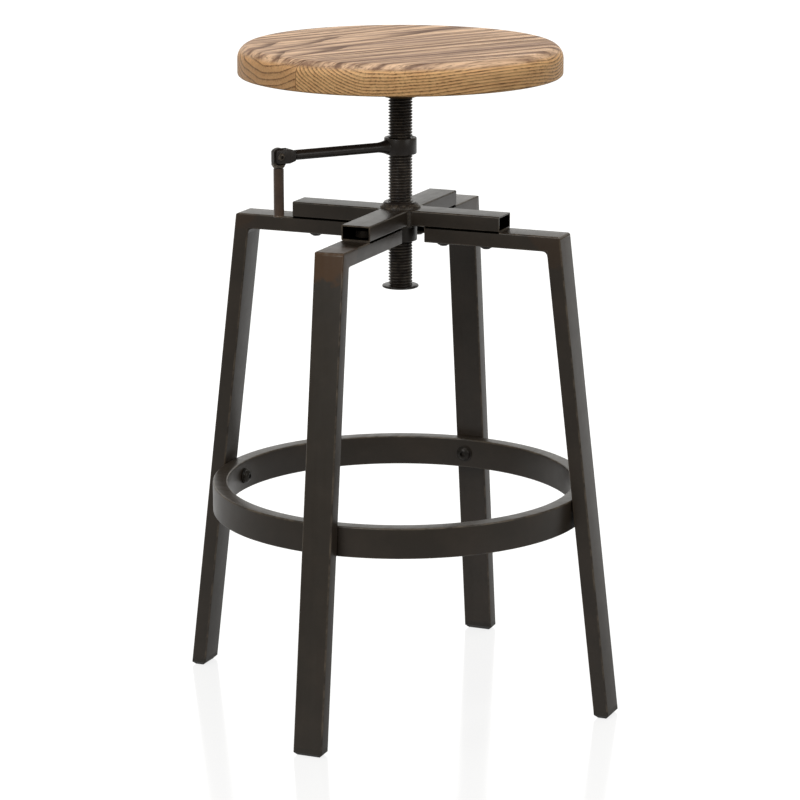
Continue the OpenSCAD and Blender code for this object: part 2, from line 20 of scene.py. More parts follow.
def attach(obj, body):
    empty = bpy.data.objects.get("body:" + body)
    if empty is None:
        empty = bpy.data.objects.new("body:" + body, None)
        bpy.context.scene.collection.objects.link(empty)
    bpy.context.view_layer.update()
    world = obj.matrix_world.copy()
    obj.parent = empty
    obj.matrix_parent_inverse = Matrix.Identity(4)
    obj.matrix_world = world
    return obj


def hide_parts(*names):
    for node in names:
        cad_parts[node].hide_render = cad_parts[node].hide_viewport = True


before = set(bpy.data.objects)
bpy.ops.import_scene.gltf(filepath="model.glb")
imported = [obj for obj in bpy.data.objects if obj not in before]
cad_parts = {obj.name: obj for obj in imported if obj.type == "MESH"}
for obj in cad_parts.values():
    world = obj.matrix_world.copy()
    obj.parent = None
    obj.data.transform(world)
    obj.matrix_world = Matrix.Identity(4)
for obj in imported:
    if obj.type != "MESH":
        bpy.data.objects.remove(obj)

LOG = logging.getLogger("bar_stool")
MM = 0.001
FULL_TURN = 2 * math.pi
# Direction of the seat's grain, from +X
GRAIN_DEG = 58.0
# Points nearer than this are one, and points this near a plane lie on it
WELD_MM = 1e-4
PLANE_MM = 1e-5
# Edges that turn by more than this are rounded
SHARP_DEG = 30
# Names of the marks on points: where the lacquer shows rubbing and painted highlight, and painted shade where two
# tubes meet and inside the arms
WEAR_AND_HIGHLIGHT = "rub_and_highlight"
SEAM = "seam_shade"


class Side(Enum):
    """The four directions in which arms and legs point, as degrees from +X."""

    EAST = 0
    NORTH = 90
    WEST = 180
    SOUTH = 270


class Body(Enum):
    """The rigid bodies of the stool's mechanism."""

    FRAME = "frame"
    BEARING = "bearing"
    SCREW = "screw"
    HANDLE = "handle"
    GRIP = "grip"
    SEAT = "seat"


class Mouth(Enum):
    """Which end of a tube is open, as the sign of its direction along the tube."""

    NONE = 0
    FAR = 1
    NEAR = -1


class Slot(Enum):
    """The record's material slots."""

    WOOD = "seat_wood"
    PAINT = "frame_paint"
    DARK = "dark_steel"
    FASTENER = "fasteners"
    BRONZE = "bush_bronze"
    PLASTIC = "foot_plastic"


# Colour and node helpers


def linear(hex_colour: str) -> tuple[float, float, float, float]:
    """Turns an sRGB hex colour into linear RGBA.

    Args:
        hex_colour: six hex digits, such as "8A5A2B".

    Returns:
        Red, green, blue and an alpha of 1, each linear.
    """
    parts = [int(hex_colour[i:i + 2], 16) / 255 for i in (0, 2, 4)]
    return (*[p / 12.92 if p <= 0.04045 else ((p + 0.055) / 1.055) ** 2.4 for p in parts], 1.0)


def add_node(
    tree: NodeTree,
    kind: str,
    settings: Optional[dict] = None,
    links: Optional[dict] = None,
    stops: Sequence[tuple[float, Any]] = (),
) -> Node:
    """Adds one shader node with its settings, links and ramp stops.

    Args:
        tree: the material's node tree.
        kind: the node's type name, without its prefix.
        settings: attribute names, input names or input numbers, each with its value.
        links: input names or numbers, each with what feeds it: a socket, or a node for its first output.
        stops: positions and colours (hex text or a grey value) for a colour ramp.

    Returns:
        The new node.
    """
    node = tree.nodes.new("ShaderNode" + kind)
    for key, value in (settings or {}).items():
        if isinstance(key, int) or key in node.inputs:
            node.inputs[key].default_value = value
        else:
            setattr(node, key, value)
    for key, source in (links or {}).items():
        tree.links.new(source.outputs[0] if isinstance(source, Node) else source, node.inputs[key])
    if stops:
        elements = node.color_ramp.elements
        while len(elements) < len(stops):
            elements.new(0.5)
        for element, (position, colour) in zip(elements, stops):
            element.position = position
            element.color = linear(colour) if isinstance(colour, str) else (colour, colour, colour, 1)
    return node


def new_material(name: str) -> tuple[Material, NodeTree, Node]:
    """Makes an empty node material with its output.

    Args:
        name: the material's name.

    Returns:
        The material, its node tree and its output node.
    """
    material = bpy.data.materials.new(name)
    material.use_nodes = True
    material.node_tree.nodes.clear()
    return material, material.node_tree, add_node(material.node_tree, "OutputMaterial")


# Mesh helpers


def turned(degrees: float, axis: str = "Z") -> Matrix:
    """Gives the matrix of a turn about an axis through the origin."""
    return Matrix.Rotation(math.radians(degrees), 4, axis)


def moved(x: float, y: float, z: float) -> Matrix:
    """Gives the matrix of a shift."""
    return Matrix.Translation((x, y, z))


def points_in(geom: Sequence[Any]) -> list[BMVert]:
    """Picks the points out of what an operator returns."""
    return [item for item in geom if isinstance(item, BMVert)]


def faces_at(verts: Sequence[BMVert]) -> list[BMFace]:
    """Gives the faces that meet at some points."""
    return list({face for vert in verts for face in vert.link_faces})


def everything(bm: BMesh) -> list[Any]:
    """Lists all of a mesh's points, edges and faces."""
    return [*bm.verts, *bm.edges, *bm.faces]


def lathe(bm: BMesh, profile: Sequence[tuple[float, float]], steps: int = 48,
          closed: bool = False, place: Matrix = Matrix()) -> list[BMVert]:
    """Turns a profile of radius and height round +Z, then places it.

    Args:
        bm: the mesh that receives the shape.
        profile: points as (radius, height), in millimetres.
        steps: number of steps in the full turn.
        closed: whether the profile's last point joins its first.
        place: where the turned shape goes.

    Returns:
        The new vertices.
    """
    before = set(bm.verts)
    verts = [bm.verts.new((radius, 0, height)) for radius, height in profile]
    pairs = list(zip(verts, verts[1:])) + ([(verts[-1], verts[0])] if closed else [])
    edges = [bm.edges.new(pair) for pair in pairs]
    bmesh.ops.spin(bm, geom=verts + edges, cent=(0, 0, 0), axis=(0, 0, 1), dvec=(0, 0, 0),
                   angle=FULL_TURN, steps=steps, use_merge=True, use_duplicate=False)
    made = [v for v in bm.verts if v not in before]
    bmesh.ops.remove_doubles(bm, verts=made, dist=WELD_MM)
    made = [v for v in bm.verts if v not in before]
    bmesh.ops.recalc_face_normals(bm, faces=faces_at(made))
    bmesh.ops.transform(bm, matrix=place, verts=made)
    return made


def prism(bm: BMesh, outline: Sequence[tuple[float, float]], depth: float,
          edge: float = 0.0, place: Matrix = Matrix()) -> list[BMVert]:
    """Extrudes a flat outline along +Z and rounds its edges.

    Args:
        bm: the mesh that receives the shape.
        outline: points as (x, y), in millimetres.
        depth: height of the prism.
        edge: radius of its rounded edges, 0 for sharp ones.
        place: where the prism goes.

    Returns:
        The new vertices.
    """
    before = set(bm.verts)
    face = bm.faces.new([bm.verts.new((x, y, 0)) for x, y in outline])
    made = bmesh.ops.extrude_face_region(bm, geom=[face])["geom"]
    bmesh.ops.translate(bm, vec=(0, 0, depth), verts=points_in(made))
    verts = [v for v in bm.verts if v not in before]
    faces = faces_at(verts)
    bmesh.ops.recalc_face_normals(bm, faces=faces)
    if edge:
        edges = {e for f in faces for e in f.edges if e.calc_face_angle(0) > math.radians(SHARP_DEG)}
        bmesh.ops.bevel(bm, geom=list(edges), offset=edge, offset_type="OFFSET", affect="EDGES",
                        segments=3, profile=0.5, material=-1)
        verts = [v for v in bm.verts if v not in before]
    bmesh.ops.transform(bm, matrix=place, verts=verts)
    return verts


def rounded_section(bm: BMesh, width: float, height: float, radius: float) -> BMFace:
    """Makes a flat rectangle with rounded corners, and marks the corners for rubbing and painted highlight.

    Args:
        bm: the mesh that receives the face.
        width: size along X.
        height: size along Y.
        radius: corner radius.

    Returns:
        The face, centred in the XY plane.
    """
    wear_and_highlight = bm.verts.layers.float.get(WEAR_AND_HIGHLIGHT) or bm.verts.layers.float.new(WEAR_AND_HIGHLIGHT)
    before = set(bm.verts)
    square = bmesh.ops.create_grid(bm, x_segments=1, y_segments=1, size=0.5)["verts"]
    bmesh.ops.scale(bm, vec=(width, height, 1), verts=square)
    bmesh.ops.bevel(bm, geom=square, offset=radius, offset_type="OFFSET", affect="VERTICES",
                    segments=6, profile=0.5, material=-1)
    verts = [v for v in bm.verts if v not in before]
    for vert in verts:
        on_flat = abs(abs(vert.co.x) - width / 2) < 1e-3 or abs(abs(vert.co.y) - height / 2) < 1e-3
        vert[wear_and_highlight] = 0.0 if on_flat else 1.0
    return verts[0].link_faces[0]


def cut(bm: BMesh, point: Sequence[float], normal: Sequence[float]) -> None:
    """Cuts away what lies on the normal's side of a plane, and caps the cut.

    Args:
        bm: the mesh that is cut.
        point: a point on the plane.
        normal: the direction of the part that goes.
    """
    made = bmesh.ops.bisect_plane(bm, geom=everything(bm), dist=PLANE_MM, plane_co=point, plane_no=normal,
                                  clear_outer=True)
    rim = [e for e in made["geom_cut"] if isinstance(e, BMEdge) and e.is_boundary]
    bmesh.ops.holes_fill(bm, edges=rim, sides=0)


def score(bm: BMesh, point: Sequence[float], normal: Sequence[float]) -> None:
    """Adds a loop where a plane crosses the mesh, so that marks on its points can end there.

    Args:
        bm: the mesh.
        point: a point on the plane.
        normal: the plane's direction.
    """
    bmesh.ops.bisect_plane(bm, geom=everything(bm), dist=PLANE_MM, plane_co=point, plane_no=normal)


def mark(bm: BMesh, layer: str, chosen: Callable[[Vector], bool]) -> None:
    """Sets a mark of 1 on some of a mesh's points.

    Args:
        bm: the mesh.
        layer: the mark's name.
        chosen: tells from its place whether a point is marked.
    """
    marks = bm.verts.layers.float.get(layer) or bm.verts.layers.float.new(layer)
    for vert in bm.verts:
        if chosen(vert.co):
            vert[marks] = 1.0


def finish_piece(bm: BMesh, name: str, body: Body, material: Material,
                 replaces: Sequence[str] = (), smooth: float = 35.0) -> bpy.types.Object:
    """Turns a drawn mesh into a piece of the stool that rides on a body.

    Args:
        bm: the mesh in millimetres, used up by this call.
        name: the piece's name.
        body: the body it rides on.
        material: its material.
        replaces: the CAD nodes that it stands for.
        smooth: faces that meet below this angle, in degrees, shade as one surface.

    Returns:
        The piece's object.
    """
    bmesh.ops.scale(bm, vec=(MM, MM, MM), verts=bm.verts)
    mesh = bpy.data.meshes.new(name)
    bm.to_mesh(mesh)
    bm.free()
    mesh.shade_smooth()
    mesh.set_sharp_from_angle(angle=math.radians(smooth))
    mesh.materials.append(material)
    piece = bpy.data.objects.new(name, mesh)
    bpy.context.collection.objects.link(piece)
    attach(piece, body.value)
    if replaces:
        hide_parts(*replaces)
    LOG.info("%s: %d faces on %s", name, len(mesh.polygons), body.value)
    return piece


# Finishes


@dataclass(frozen=True)
class LacqueredSteel:
    """Cold-rolled steel tube under a thin bronze-black lacquer.

    The lacquer is a satin film, nearly black face-on and pale at grazing angles. It is browned by heat
    round the legs' welded corners, pale where rubbing has thinned it along the edges, and shows the tube's
    fine draw marks. The pale colour on marked points is partly rubbing and partly painted highlight, and
    where tubes meet and inside the arms painted shade turns the colour near black and takes the sheen away.
    The draw marks are counted per metre along and across the tube.
    """

    name: str = "lacquered_steel"
    base: str = "302922"
    cloud: str = "3A3129"
    # Pale colour where rubbing shows, which also paints highlights
    rubbed_and_highlight: str = "6C6051"
    heated: str = "503417"
    heat: float = 0.0
    corner_mm: tuple[float, float] = (174.5, 486.0)
    roughness: float = 0.34
    metallic: float = 0.0
    cloud_mm: float = 45.0
    rub_mm: float = 14.0
    grain_mm: float = 1.6
    # Strength of the pale rubbing colour with its painted highlight
    wear_and_highlight: float = 0.6
    marks: float = 0.0
    marks_per_m: tuple[float, float] = (12.0, 170.0)
    # Near-black colour of the painted shade where tubes meet and inside the arms
    seam: str = "050403"
    heat_mm: float = 64.0
    heat_fade_mm: float = 6.0
    heat_ragged_mm: float = 70.0
    grain_depth_mm: float = 0.2

    def material(self) -> Material:
        """Builds the material.

        Returns:
            The node material.
        """
        material, tree, output = new_material(self.name)
        coords = add_node(tree, "TexCoord")
        place = coords.outputs["Object"]
        up = add_node(tree, "SeparateXYZ", links={0: coords.outputs["Normal"]})
        clouds, rubs, grain = [
            add_node(tree, "TexNoise", {"Scale": 1 / (size * MM), "Detail": detail, "Roughness": rough},
                     {"Vector": place})
            for size, detail, rough in ((self.cloud_mm, 4.0, 0.6), (self.rub_mm, 5.0, 0.65),
                                        (self.grain_mm, 2.0, 0.5))
        ]
        cloudy = add_node(tree, "ValToRGB", links={"Fac": clouds}, stops=((0.42, 0.0), (0.72, 1.0)))
        colour = add_node(tree, "Mix", {"data_type": "RGBA", 6: linear(self.base), 7: linear(self.cloud)},
                          {0: cloudy})
        # Painted highlight with real rubbing: marked points take the pale colour in patches
        edge = add_node(tree, "Attribute", {"attribute_name": WEAR_AND_HIGHLIGHT})
        patchy = add_node(tree, "ValToRGB", links={"Fac": rubs}, stops=((0.40, 0.0), (0.62, self.wear_and_highlight)))
        worn_and_lit = add_node(tree, "Math", {"operation": "MULTIPLY"}, {0: edge.outputs["Fac"], 1: patchy})
        # Painted shade: where tubes meet and inside the arms the colour goes near black and the sheen goes out
        seam = add_node(tree, "Attribute", {"attribute_name": SEAM})
        heat = self.heat_tint(tree, place, coords.outputs["Normal"], clouds)
        for cover, tone in ((heat, self.heated), (worn_and_lit, self.rubbed_and_highlight), (seam.outputs["Fac"], self.seam)):
            colour = add_node(tree, "Mix", {"data_type": "RGBA", 7: linear(tone)},
                              {0: cover, 6: colour.outputs[2]})
        clear = add_node(tree, "Math", {"operation": "SUBTRACT", 0: 1.0, "use_clamp": True},
                         {1: seam.outputs["Fac"]})
        rough = add_node(tree, "MapRange", {3: self.roughness - 0.05, 4: self.roughness + 0.09}, {0: rubs})
        shine = add_node(tree, "Math", {"operation": "MULTIPLY_ADD", 2: 0.5},
                         {0: self.draw_marks(tree, place), 1: up.outputs[2]})
        sheen = add_node(tree, "Math", {"operation": "MULTIPLY"}, {0: shine, 1: clear})
        bump = add_node(tree, "Bump", {"Strength": 0.12, "Distance": self.grain_depth_mm * MM},
                        {"Height": grain})
        shader = add_node(tree, "BsdfPrincipled", {"Metallic": self.metallic},
                          {"Base Color": colour.outputs[2], "Roughness": rough,
                           "Specular IOR Level": sheen, "Normal": bump})
        tree.links.new(shader.outputs[0], output.inputs[0])
        return material

    def heat_tint(self, tree: NodeTree, place: NodeSocket, normal: NodeSocket, clouds: Node) -> NodeSocket:
        """Draws where welding has browned the lacquer: a ragged disc round each leg's corner.

        The torch came from the south, so the south leg and the faces on that side are browned the most.

        Args:
            tree: the material's node tree.
            place: object coordinates.
            normal: the surface's direction.
            clouds: the noise that makes the edge ragged.

        Returns:
            The amount of tint.
        """
        split = add_node(tree, "SeparateXYZ", links={0: place})
        flat = add_node(tree, "CombineXYZ", links={0: split, 1: split.outputs[1]})
        reach = add_node(tree, "VectorMath", {"operation": "LENGTH"}, {0: flat})
        spot = add_node(tree, "CombineXYZ", links={0: reach.outputs["Value"], 2: split.outputs[2]})
        corner = (self.corner_mm[0] * MM, 0.0, self.corner_mm[1] * MM)
        away = add_node(tree, "VectorMath", {"operation": "DISTANCE", 1: corner}, {0: spot})
        ragged = add_node(tree, "Math", {"operation": "MULTIPLY_ADD", 1: self.heat_ragged_mm * MM},
                          {0: clouds, 2: away.outputs["Value"]})
        inner = (self.heat_mm - self.heat_fade_mm) * MM
        tint = add_node(tree, "MapRange", {1: self.heat_mm * MM, 2: inner, 3: 0.0, 4: self.heat}, {0: ragged})
        facing = add_node(tree, "SeparateXYZ", links={0: normal})
        front = add_node(tree, "MapRange", {1: 0.1, 2: -0.7, 3: 0.25, 4: 1.0}, {0: facing.outputs[1]})
        most = add_node(tree, "Math", {"operation": "MULTIPLY"}, {0: tint, 1: front})
        near = add_node(tree, "MapRange", {1: -0.15, 2: -0.05, 3: 1.0, 4: 0.28}, {0: split.outputs[1]})
        there = add_node(tree, "Math", {"operation": "MULTIPLY"}, {0: most, 1: near})
        return there.outputs[0]

    def draw_marks(self, tree: NodeTree, place: NodeSocket) -> NodeSocket:
        """Draws fine marks along the tubes, which lie along X or along Y.

        Args:
            tree: the material's node tree.
            place: object coordinates.

        Returns:
            How much shine they add or take.
        """
        size = add_node(tree, "VectorMath", {"operation": "ABSOLUTE"}, {0: place})
        parts = add_node(tree, "SeparateXYZ", links={0: size})
        along_x = add_node(tree, "Math", {"operation": "GREATER_THAN"}, {0: parts, 1: parts.outputs[1]})
        long, fine = self.marks_per_m
        by_y, by_x = [add_node(tree, "Mapping", {"Scale": scale}, {"Vector": place})
                      for scale in ((fine, long, long), (long, fine, long))]
        either = add_node(tree, "Mix", {"data_type": "VECTOR"}, {0: along_x, 4: by_y, 5: by_x})
        marks = add_node(tree, "TexNoise", {"Scale": 1.0, "Detail": 3.0}, {"Vector": either.outputs[1]})
        spread = add_node(tree, "MapRange", {1: 0.3, 2: 0.7, 3: -self.marks, 4: self.marks}, {0: marks})
        return spread.outputs[0]


@dataclass(frozen=True)
class MouldedPlastic:
    """Moulded polypropylene: a satin brown-black like the tubes, with a fine spark-eroded grain."""

    name: str = "moulded_polypropylene"
    base: str = "28231D"
    speck: str = "332D26"
    roughness: float = 0.42
    grain_mm: float = 0.9
    grain_depth_mm: float = 0.2

    def material(self) -> Material:
        """Builds the material.

        Returns:
            The node material.
        """
        material, tree, output = new_material(self.name)
        place = add_node(tree, "TexCoord").outputs["Object"]
        grain = add_node(tree, "TexNoise", {"Scale": 1 / (self.grain_mm * MM), "Detail": 3.0},
                         {"Vector": place})
        tone = add_node(tree, "Mix", {"data_type": "RGBA", 6: linear(self.base), 7: linear(self.speck)},
                        {0: grain})
        bump = add_node(tree, "Bump", {"Strength": 0.2, "Distance": self.grain_depth_mm * MM},
                        {"Height": grain})
        shader = add_node(tree, "BsdfPrincipled", {"Roughness": self.roughness, "IOR": 1.49},
                          {"Base Color": tone.outputs[2], "Normal": bump})
        tree.links.new(shader.outputs[0], output.inputs[0])
        return material


@dataclass(frozen=True)
class OiledWood:
    """Open-pored ash, oiled: brown latewood lines on a tan ground.

    The growth rings are drawn in the solid round the pith of the tree, so the rim shows them as arcs of
    end grain with rows of open pores. The rim's end-grain colours are paler than the wood, painted light from
    the lamp in front over the end grain's own tone. The flat-sawn top shows its latewood as nested curves
    that open along the grain.

    The pith lies across_mm and above_mm from the stool's origin, leaning by lean_deg, and is shifted along
    itself by seed metres, so that no two boards share a pattern. The board's glue lines lie at edges_mm
    across the grain, and the top's curves start at apex_mm, spaced by line_mm.
    """

    name: str
    across_mm: float
    above_mm: float
    lean_deg: float
    seed: float
    edges_mm: tuple[float, float]
    apex_mm: tuple[float, float]
    line_mm: float
    grain_deg: float = GRAIN_DEG
    ring_mm: float = 3.0
    widest_line_ring_mm: float = 3.4
    sway_mm: float = 12.0
    wander_mm: float = 45.0
    glue_half_mm: float = 0.45
    pore_depth_mm: float = 0.3
    ground: str = "E2BB97"
    early: str = "94725A"
    line: str = "4A2A17"
    # Pale end-grain colours of the rim: painted light from the lamp in front, over the end grain's own tone
    lit_end_tone: str = "FFD195"
    lit_end_early: str = "F8BC80"
    end_line: str = "532C0D"
    pore: str = "4C3019"
    glue: str = "6B4828"

    def material(self) -> Material:
        """Builds the material.

        Returns:
            The node material.
        """
        material, tree, output = new_material(self.name)
        coords = add_node(tree, "TexCoord")
        board = add_node(tree, "Mapping", {"Rotation": (0, 0, -math.radians(self.grain_deg))},
                         {"Vector": coords.outputs["Object"]}).outputs[0]
        pith = add_node(tree, "Mapping",
                        {"Location": (self.seed, -self.across_mm * MM, -self.above_mm * MM),
                         "Rotation": (0, math.radians(self.lean_deg), 0)}, {"Vector": board}).outputs[0]
        # Streaks are 6 mm wide and 70 mm long, the broad bands on the top 9 mm and 250 mm
        streaks = self.stretched_noise(tree, pith, (14.0, 160.0, 160.0), 4.0)
        bands = self.stretched_noise(tree, board, (4.0, 115.0, 115.0), 3.5)
        broken = add_node(tree, "MapRange", {1: 0.3, 2: 0.7, 3: 0.55, 4: 1.0}, {0: streaks})
        rings = self.end_rings(tree, pith)
        curves = self.top_curves(tree, board)
        # Pores are 0.3 mm wide in the real wood and drawn 1.6 mm wide, so that they show at this distance
        pores = self.stretched_noise(tree, pith, (60.0, 620.0, 620.0), 2.0)
        pore_spots = add_node(tree, "ValToRGB", links={"Fac": pores}, stops=((0.48, 0.0), (0.66, 1.0)))
        crowded = add_node(tree, "MapRange", {3: 0.2, 4: 0.85}, {0: rings})
        pore_rows = add_node(tree, "Math", {"operation": "MULTIPLY"}, {0: pore_spots, 1: crowded})
        up = add_node(tree, "SeparateXYZ", links={0: coords.outputs["Normal"]})
        # The rim's colours take over as the surface turns from upward: the end grain's own tone, with painted
        # light
        rim = add_node(tree, "MapRange", {1: 0.72, 2: 0.46, 3: 0.0, 4: 1.0}, {0: up.outputs[2]})
        shade = add_node(tree, "ValToRGB", links={"Fac": bands}, stops=((0.42, 0.0), (0.60, 1.0)))
        ground = add_node(tree, "Mix", {"data_type": "RGBA", 6: linear(self.ground),
                                                  7: linear(self.early)}, {0: shade})
        level = add_node(tree, "MapRange", {1: 0.6, 2: 0.95, 3: 0.3, 4: 1.0}, {0: up.outputs[2]})
        faded = add_node(tree, "Math", {"operation": "MULTIPLY"}, {0: level, 1: broken})
        drawn = add_node(tree, "Math", {"operation": "MULTIPLY"}, {0: curves, 1: faded})
        top = add_node(tree, "Mix", {"data_type": "RGBA", 7: linear(self.line)},
                       {0: drawn, 6: ground.outputs[2]})
        # Painted light: the end-grain colours are paler than the wood is
        lit_end_grain = add_node(tree, "Mix", {"data_type": "RGBA", 6: linear(self.lit_end_tone),
                                                7: linear(self.lit_end_early)}, {0: streaks})
        ringed = add_node(tree, "Math", {"operation": "MULTIPLY"}, {0: rings, 1: broken})
        side = add_node(tree, "Mix", {"data_type": "RGBA", 7: linear(self.end_line)},
                        {0: ringed, 6: lit_end_grain.outputs[2]})
        toned = add_node(tree, "Mix", {"data_type": "RGBA"}, {0: rim, 6: top.outputs[2], 7: side.outputs[2]})
        for cover, tone in ((pore_rows, self.pore), (self.glue_lines(tree, board), self.glue)):
            toned = add_node(tree, "Mix", {"data_type": "RGBA", 7: linear(tone)},
                             {0: cover, 6: toned.outputs[2]})
        bump = add_node(tree, "Bump", {"Strength": 0.35, "Distance": self.pore_depth_mm * MM, "invert": True},
                        {"Height": pore_rows})
        rough = add_node(tree, "MapRange", {3: 0.52, 4: 0.66}, {0: drawn})
        shader = add_node(tree, "BsdfPrincipled", {"IOR": 1.47, "Specular IOR Level": 0.36},
                          {"Base Color": toned.outputs[2], "Roughness": rough,
                           "Normal": bump})
        tree.links.new(shader.outputs[0], output.inputs[0])
        return material

    def stretched_noise(self, tree: NodeTree, vector: NodeSocket,
                        scale: tuple[float, float, float], detail: float) -> NodeSocket:
        """Adds a noise drawn out along the grain.

        Args:
            tree: the material's node tree.
            vector: coordinates with X along the grain.
            scale: repeats per metre along, across and up.
            detail: the noise's detail.

        Returns:
            The noise's value.
        """
        stretched = add_node(tree, "Mapping", {"Scale": scale}, {"Vector": vector})
        made = add_node(tree, "TexNoise", {"Scale": 1.0, "Detail": detail, "Roughness": 0.58},
                        {"Vector": stretched})
        return made.outputs["Fac"]

    def end_rings(self, tree: NodeTree, pith: NodeSocket) -> NodeSocket:
        """Draws the growth rings round the pith.

        Each ring starts with a dark row of pores that fades into a plain pale band. In wide rings that row
        takes a smaller share.

        Args:
            tree: the material's node tree.
            pith: coordinates with X along the pith.

        Returns:
            The rings' darkness.
        """
        split = add_node(tree, "SeparateXYZ", links={0: pith})
        flat = add_node(tree, "CombineXYZ", links={1: split.outputs[1], 2: split.outputs[2]})
        radius = add_node(tree, "VectorMath", {"operation": "LENGTH"}, {0: flat})
        sway = self.stretched_noise(tree, pith, (3.0, 20.0, 20.0), 1.5)
        swayed = add_node(tree, "Math", {"operation": "MULTIPLY", 1: self.sway_mm / self.ring_mm}, {0: sway})
        count = add_node(tree, "Math", {"operation": "MULTIPLY_ADD", 1: 1 / (self.ring_mm * MM)},
                         {0: radius.outputs["Value"], 2: swayed})
        phase = add_node(tree, "Math", {"operation": "FRACT"}, {0: count})
        thin = min(1.0, self.widest_line_ring_mm / self.ring_mm)
        tone = add_node(tree, "ValToRGB", links={"Fac": phase},
                        stops=((0.0, 0.5), (0.08 * thin, 1.0), (0.24 * thin, 0.6), (0.5 * thin, 0.18),
                               (0.86, 0.0), (1.0, 0.5 * thin)))
        return tone.outputs["Color"]

    def top_curves(self, tree: NodeTree, board: NodeSocket) -> NodeSocket:
        """Draws the top's latewood as nested parabolas that open along the grain from an apex.

        Args:
            tree: the material's node tree.
            board: coordinates with X along the grain.

        Returns:
            The curves' darkness.
        """
        wander = self.stretched_noise(tree, board, (2.6, 12.0, 12.0), 1.5)
        split = add_node(tree, "SeparateXYZ", links={0: board})
        along = add_node(tree, "Math", {"operation": "SUBTRACT", 1: self.apex_mm[0] * MM}, {0: split})
        offset = add_node(tree, "Math", {"operation": "SUBTRACT", 1: self.apex_mm[1] * MM},
                          {0: split.outputs[1]})
        across = add_node(tree, "Math", {"operation": "MULTIPLY_ADD", 1: self.wander_mm * MM},
                          {0: wander, 2: offset})
        flat = add_node(tree, "CombineXYZ", links={0: along, 1: across})
        reach = add_node(tree, "VectorMath", {"operation": "LENGTH"}, {0: flat})
        beyond = add_node(tree, "Math", {"operation": "SUBTRACT"}, {0: reach.outputs["Value"], 1: along})
        parted = add_node(tree, "Math", {"operation": "DIVIDE", 1: self.line_mm * MM}, {0: beyond})
        count = add_node(tree, "Math", {"operation": "SQRT"}, {0: parted})
        uneven = self.stretched_noise(tree, board, (1.5, 18.0, 18.0), 1.0)
        shifted = add_node(tree, "Math", {"operation": "MULTIPLY_ADD", 1: 1.4}, {0: uneven, 2: count})
        phase = add_node(tree, "Math", {"operation": "FRACT"}, {0: shifted})
        tone = add_node(tree, "ValToRGB", links={"Fac": phase},
                        stops=((0.0, 0.9), (0.05, 1.0), (0.17, 0.85), (0.32, 0.3), (0.66, 0.0), (0.95, 0.15)))
        return tone.outputs["Color"]

    def glue_lines(self, tree: NodeTree, board: NodeSocket) -> NodeSocket:
        """Draws a faint dark line where this board meets the next one.

        Args:
            tree: the material's node tree.
            board: coordinates with X along the grain.

        Returns:
            The line's strength.
        """
        split = add_node(tree, "SeparateXYZ", links={0: board})
        near = [add_node(tree, "Math", {"operation": "COMPARE", 1: limit * MM, 2: self.glue_half_mm * MM},
                         {0: split.outputs[1]}).outputs[0] for limit in self.edges_mm]
        either = add_node(tree, "Math", {"operation": "MAXIMUM"}, {0: near[0], 1: near[1]})
        faint = add_node(tree, "Math", {"operation": "MULTIPLY", 1: 0.6}, {0: either})
        return faint.outputs[0]


# Sub-assemblies


@dataclass(frozen=True)
class ButtonHead:
    """A domed bolt head with a hexagon socket."""

    radius: float = 7.0
    height: float = 4.4
    socket: float = 2.9
    side_share: float = 0.18
    socket_share: float = 0.6

    def add(self, bm: BMesh, place: Matrix) -> None:
        """Adds the head, which stands on its place along +Z.

        Args:
            bm: the mesh that receives it.
            place: where the head goes.
        """
        before = set(bm.verts)
        side, dome = self.side_share, 1 - self.side_share
        profile = [(self.radius * math.cos(math.radians(a)) ** 0.8,
                    self.height * (side + dome * math.sin(math.radians(a)))) for a in (0, 20, 38, 54, 66)]
        lathe(bm, [(0, 0), (self.radius, 0)] + profile + [(self.socket + 0.7, self.height)], steps=48)
        rim = {e for v in bm.verts if v not in before for e in v.link_edges if e.is_boundary}
        well = bmesh.ops.create_circle(bm, cap_ends=False, segments=6, radius=self.socket,
                                       matrix=moved(0, 0, self.height))["verts"]
        hexagon = {e for v in well for e in v.link_edges}
        bmesh.ops.bridge_loops(bm, edges=list(rim | hexagon))
        low = points_in(bmesh.ops.extrude_edge_only(bm, edges=list(hexagon))["geom"])
        bmesh.ops.translate(bm, vec=(0, 0, -self.height * self.socket_share), verts=low)
        bmesh.ops.holes_fill(bm, edges=list({e for v in low for e in v.link_edges if e.is_boundary}), sides=0)
        made = [v for v in bm.verts if v not in before]
        bmesh.ops.recalc_face_normals(bm, faces=faces_at(made))
        bmesh.ops.transform(bm, matrix=place, verts=made)


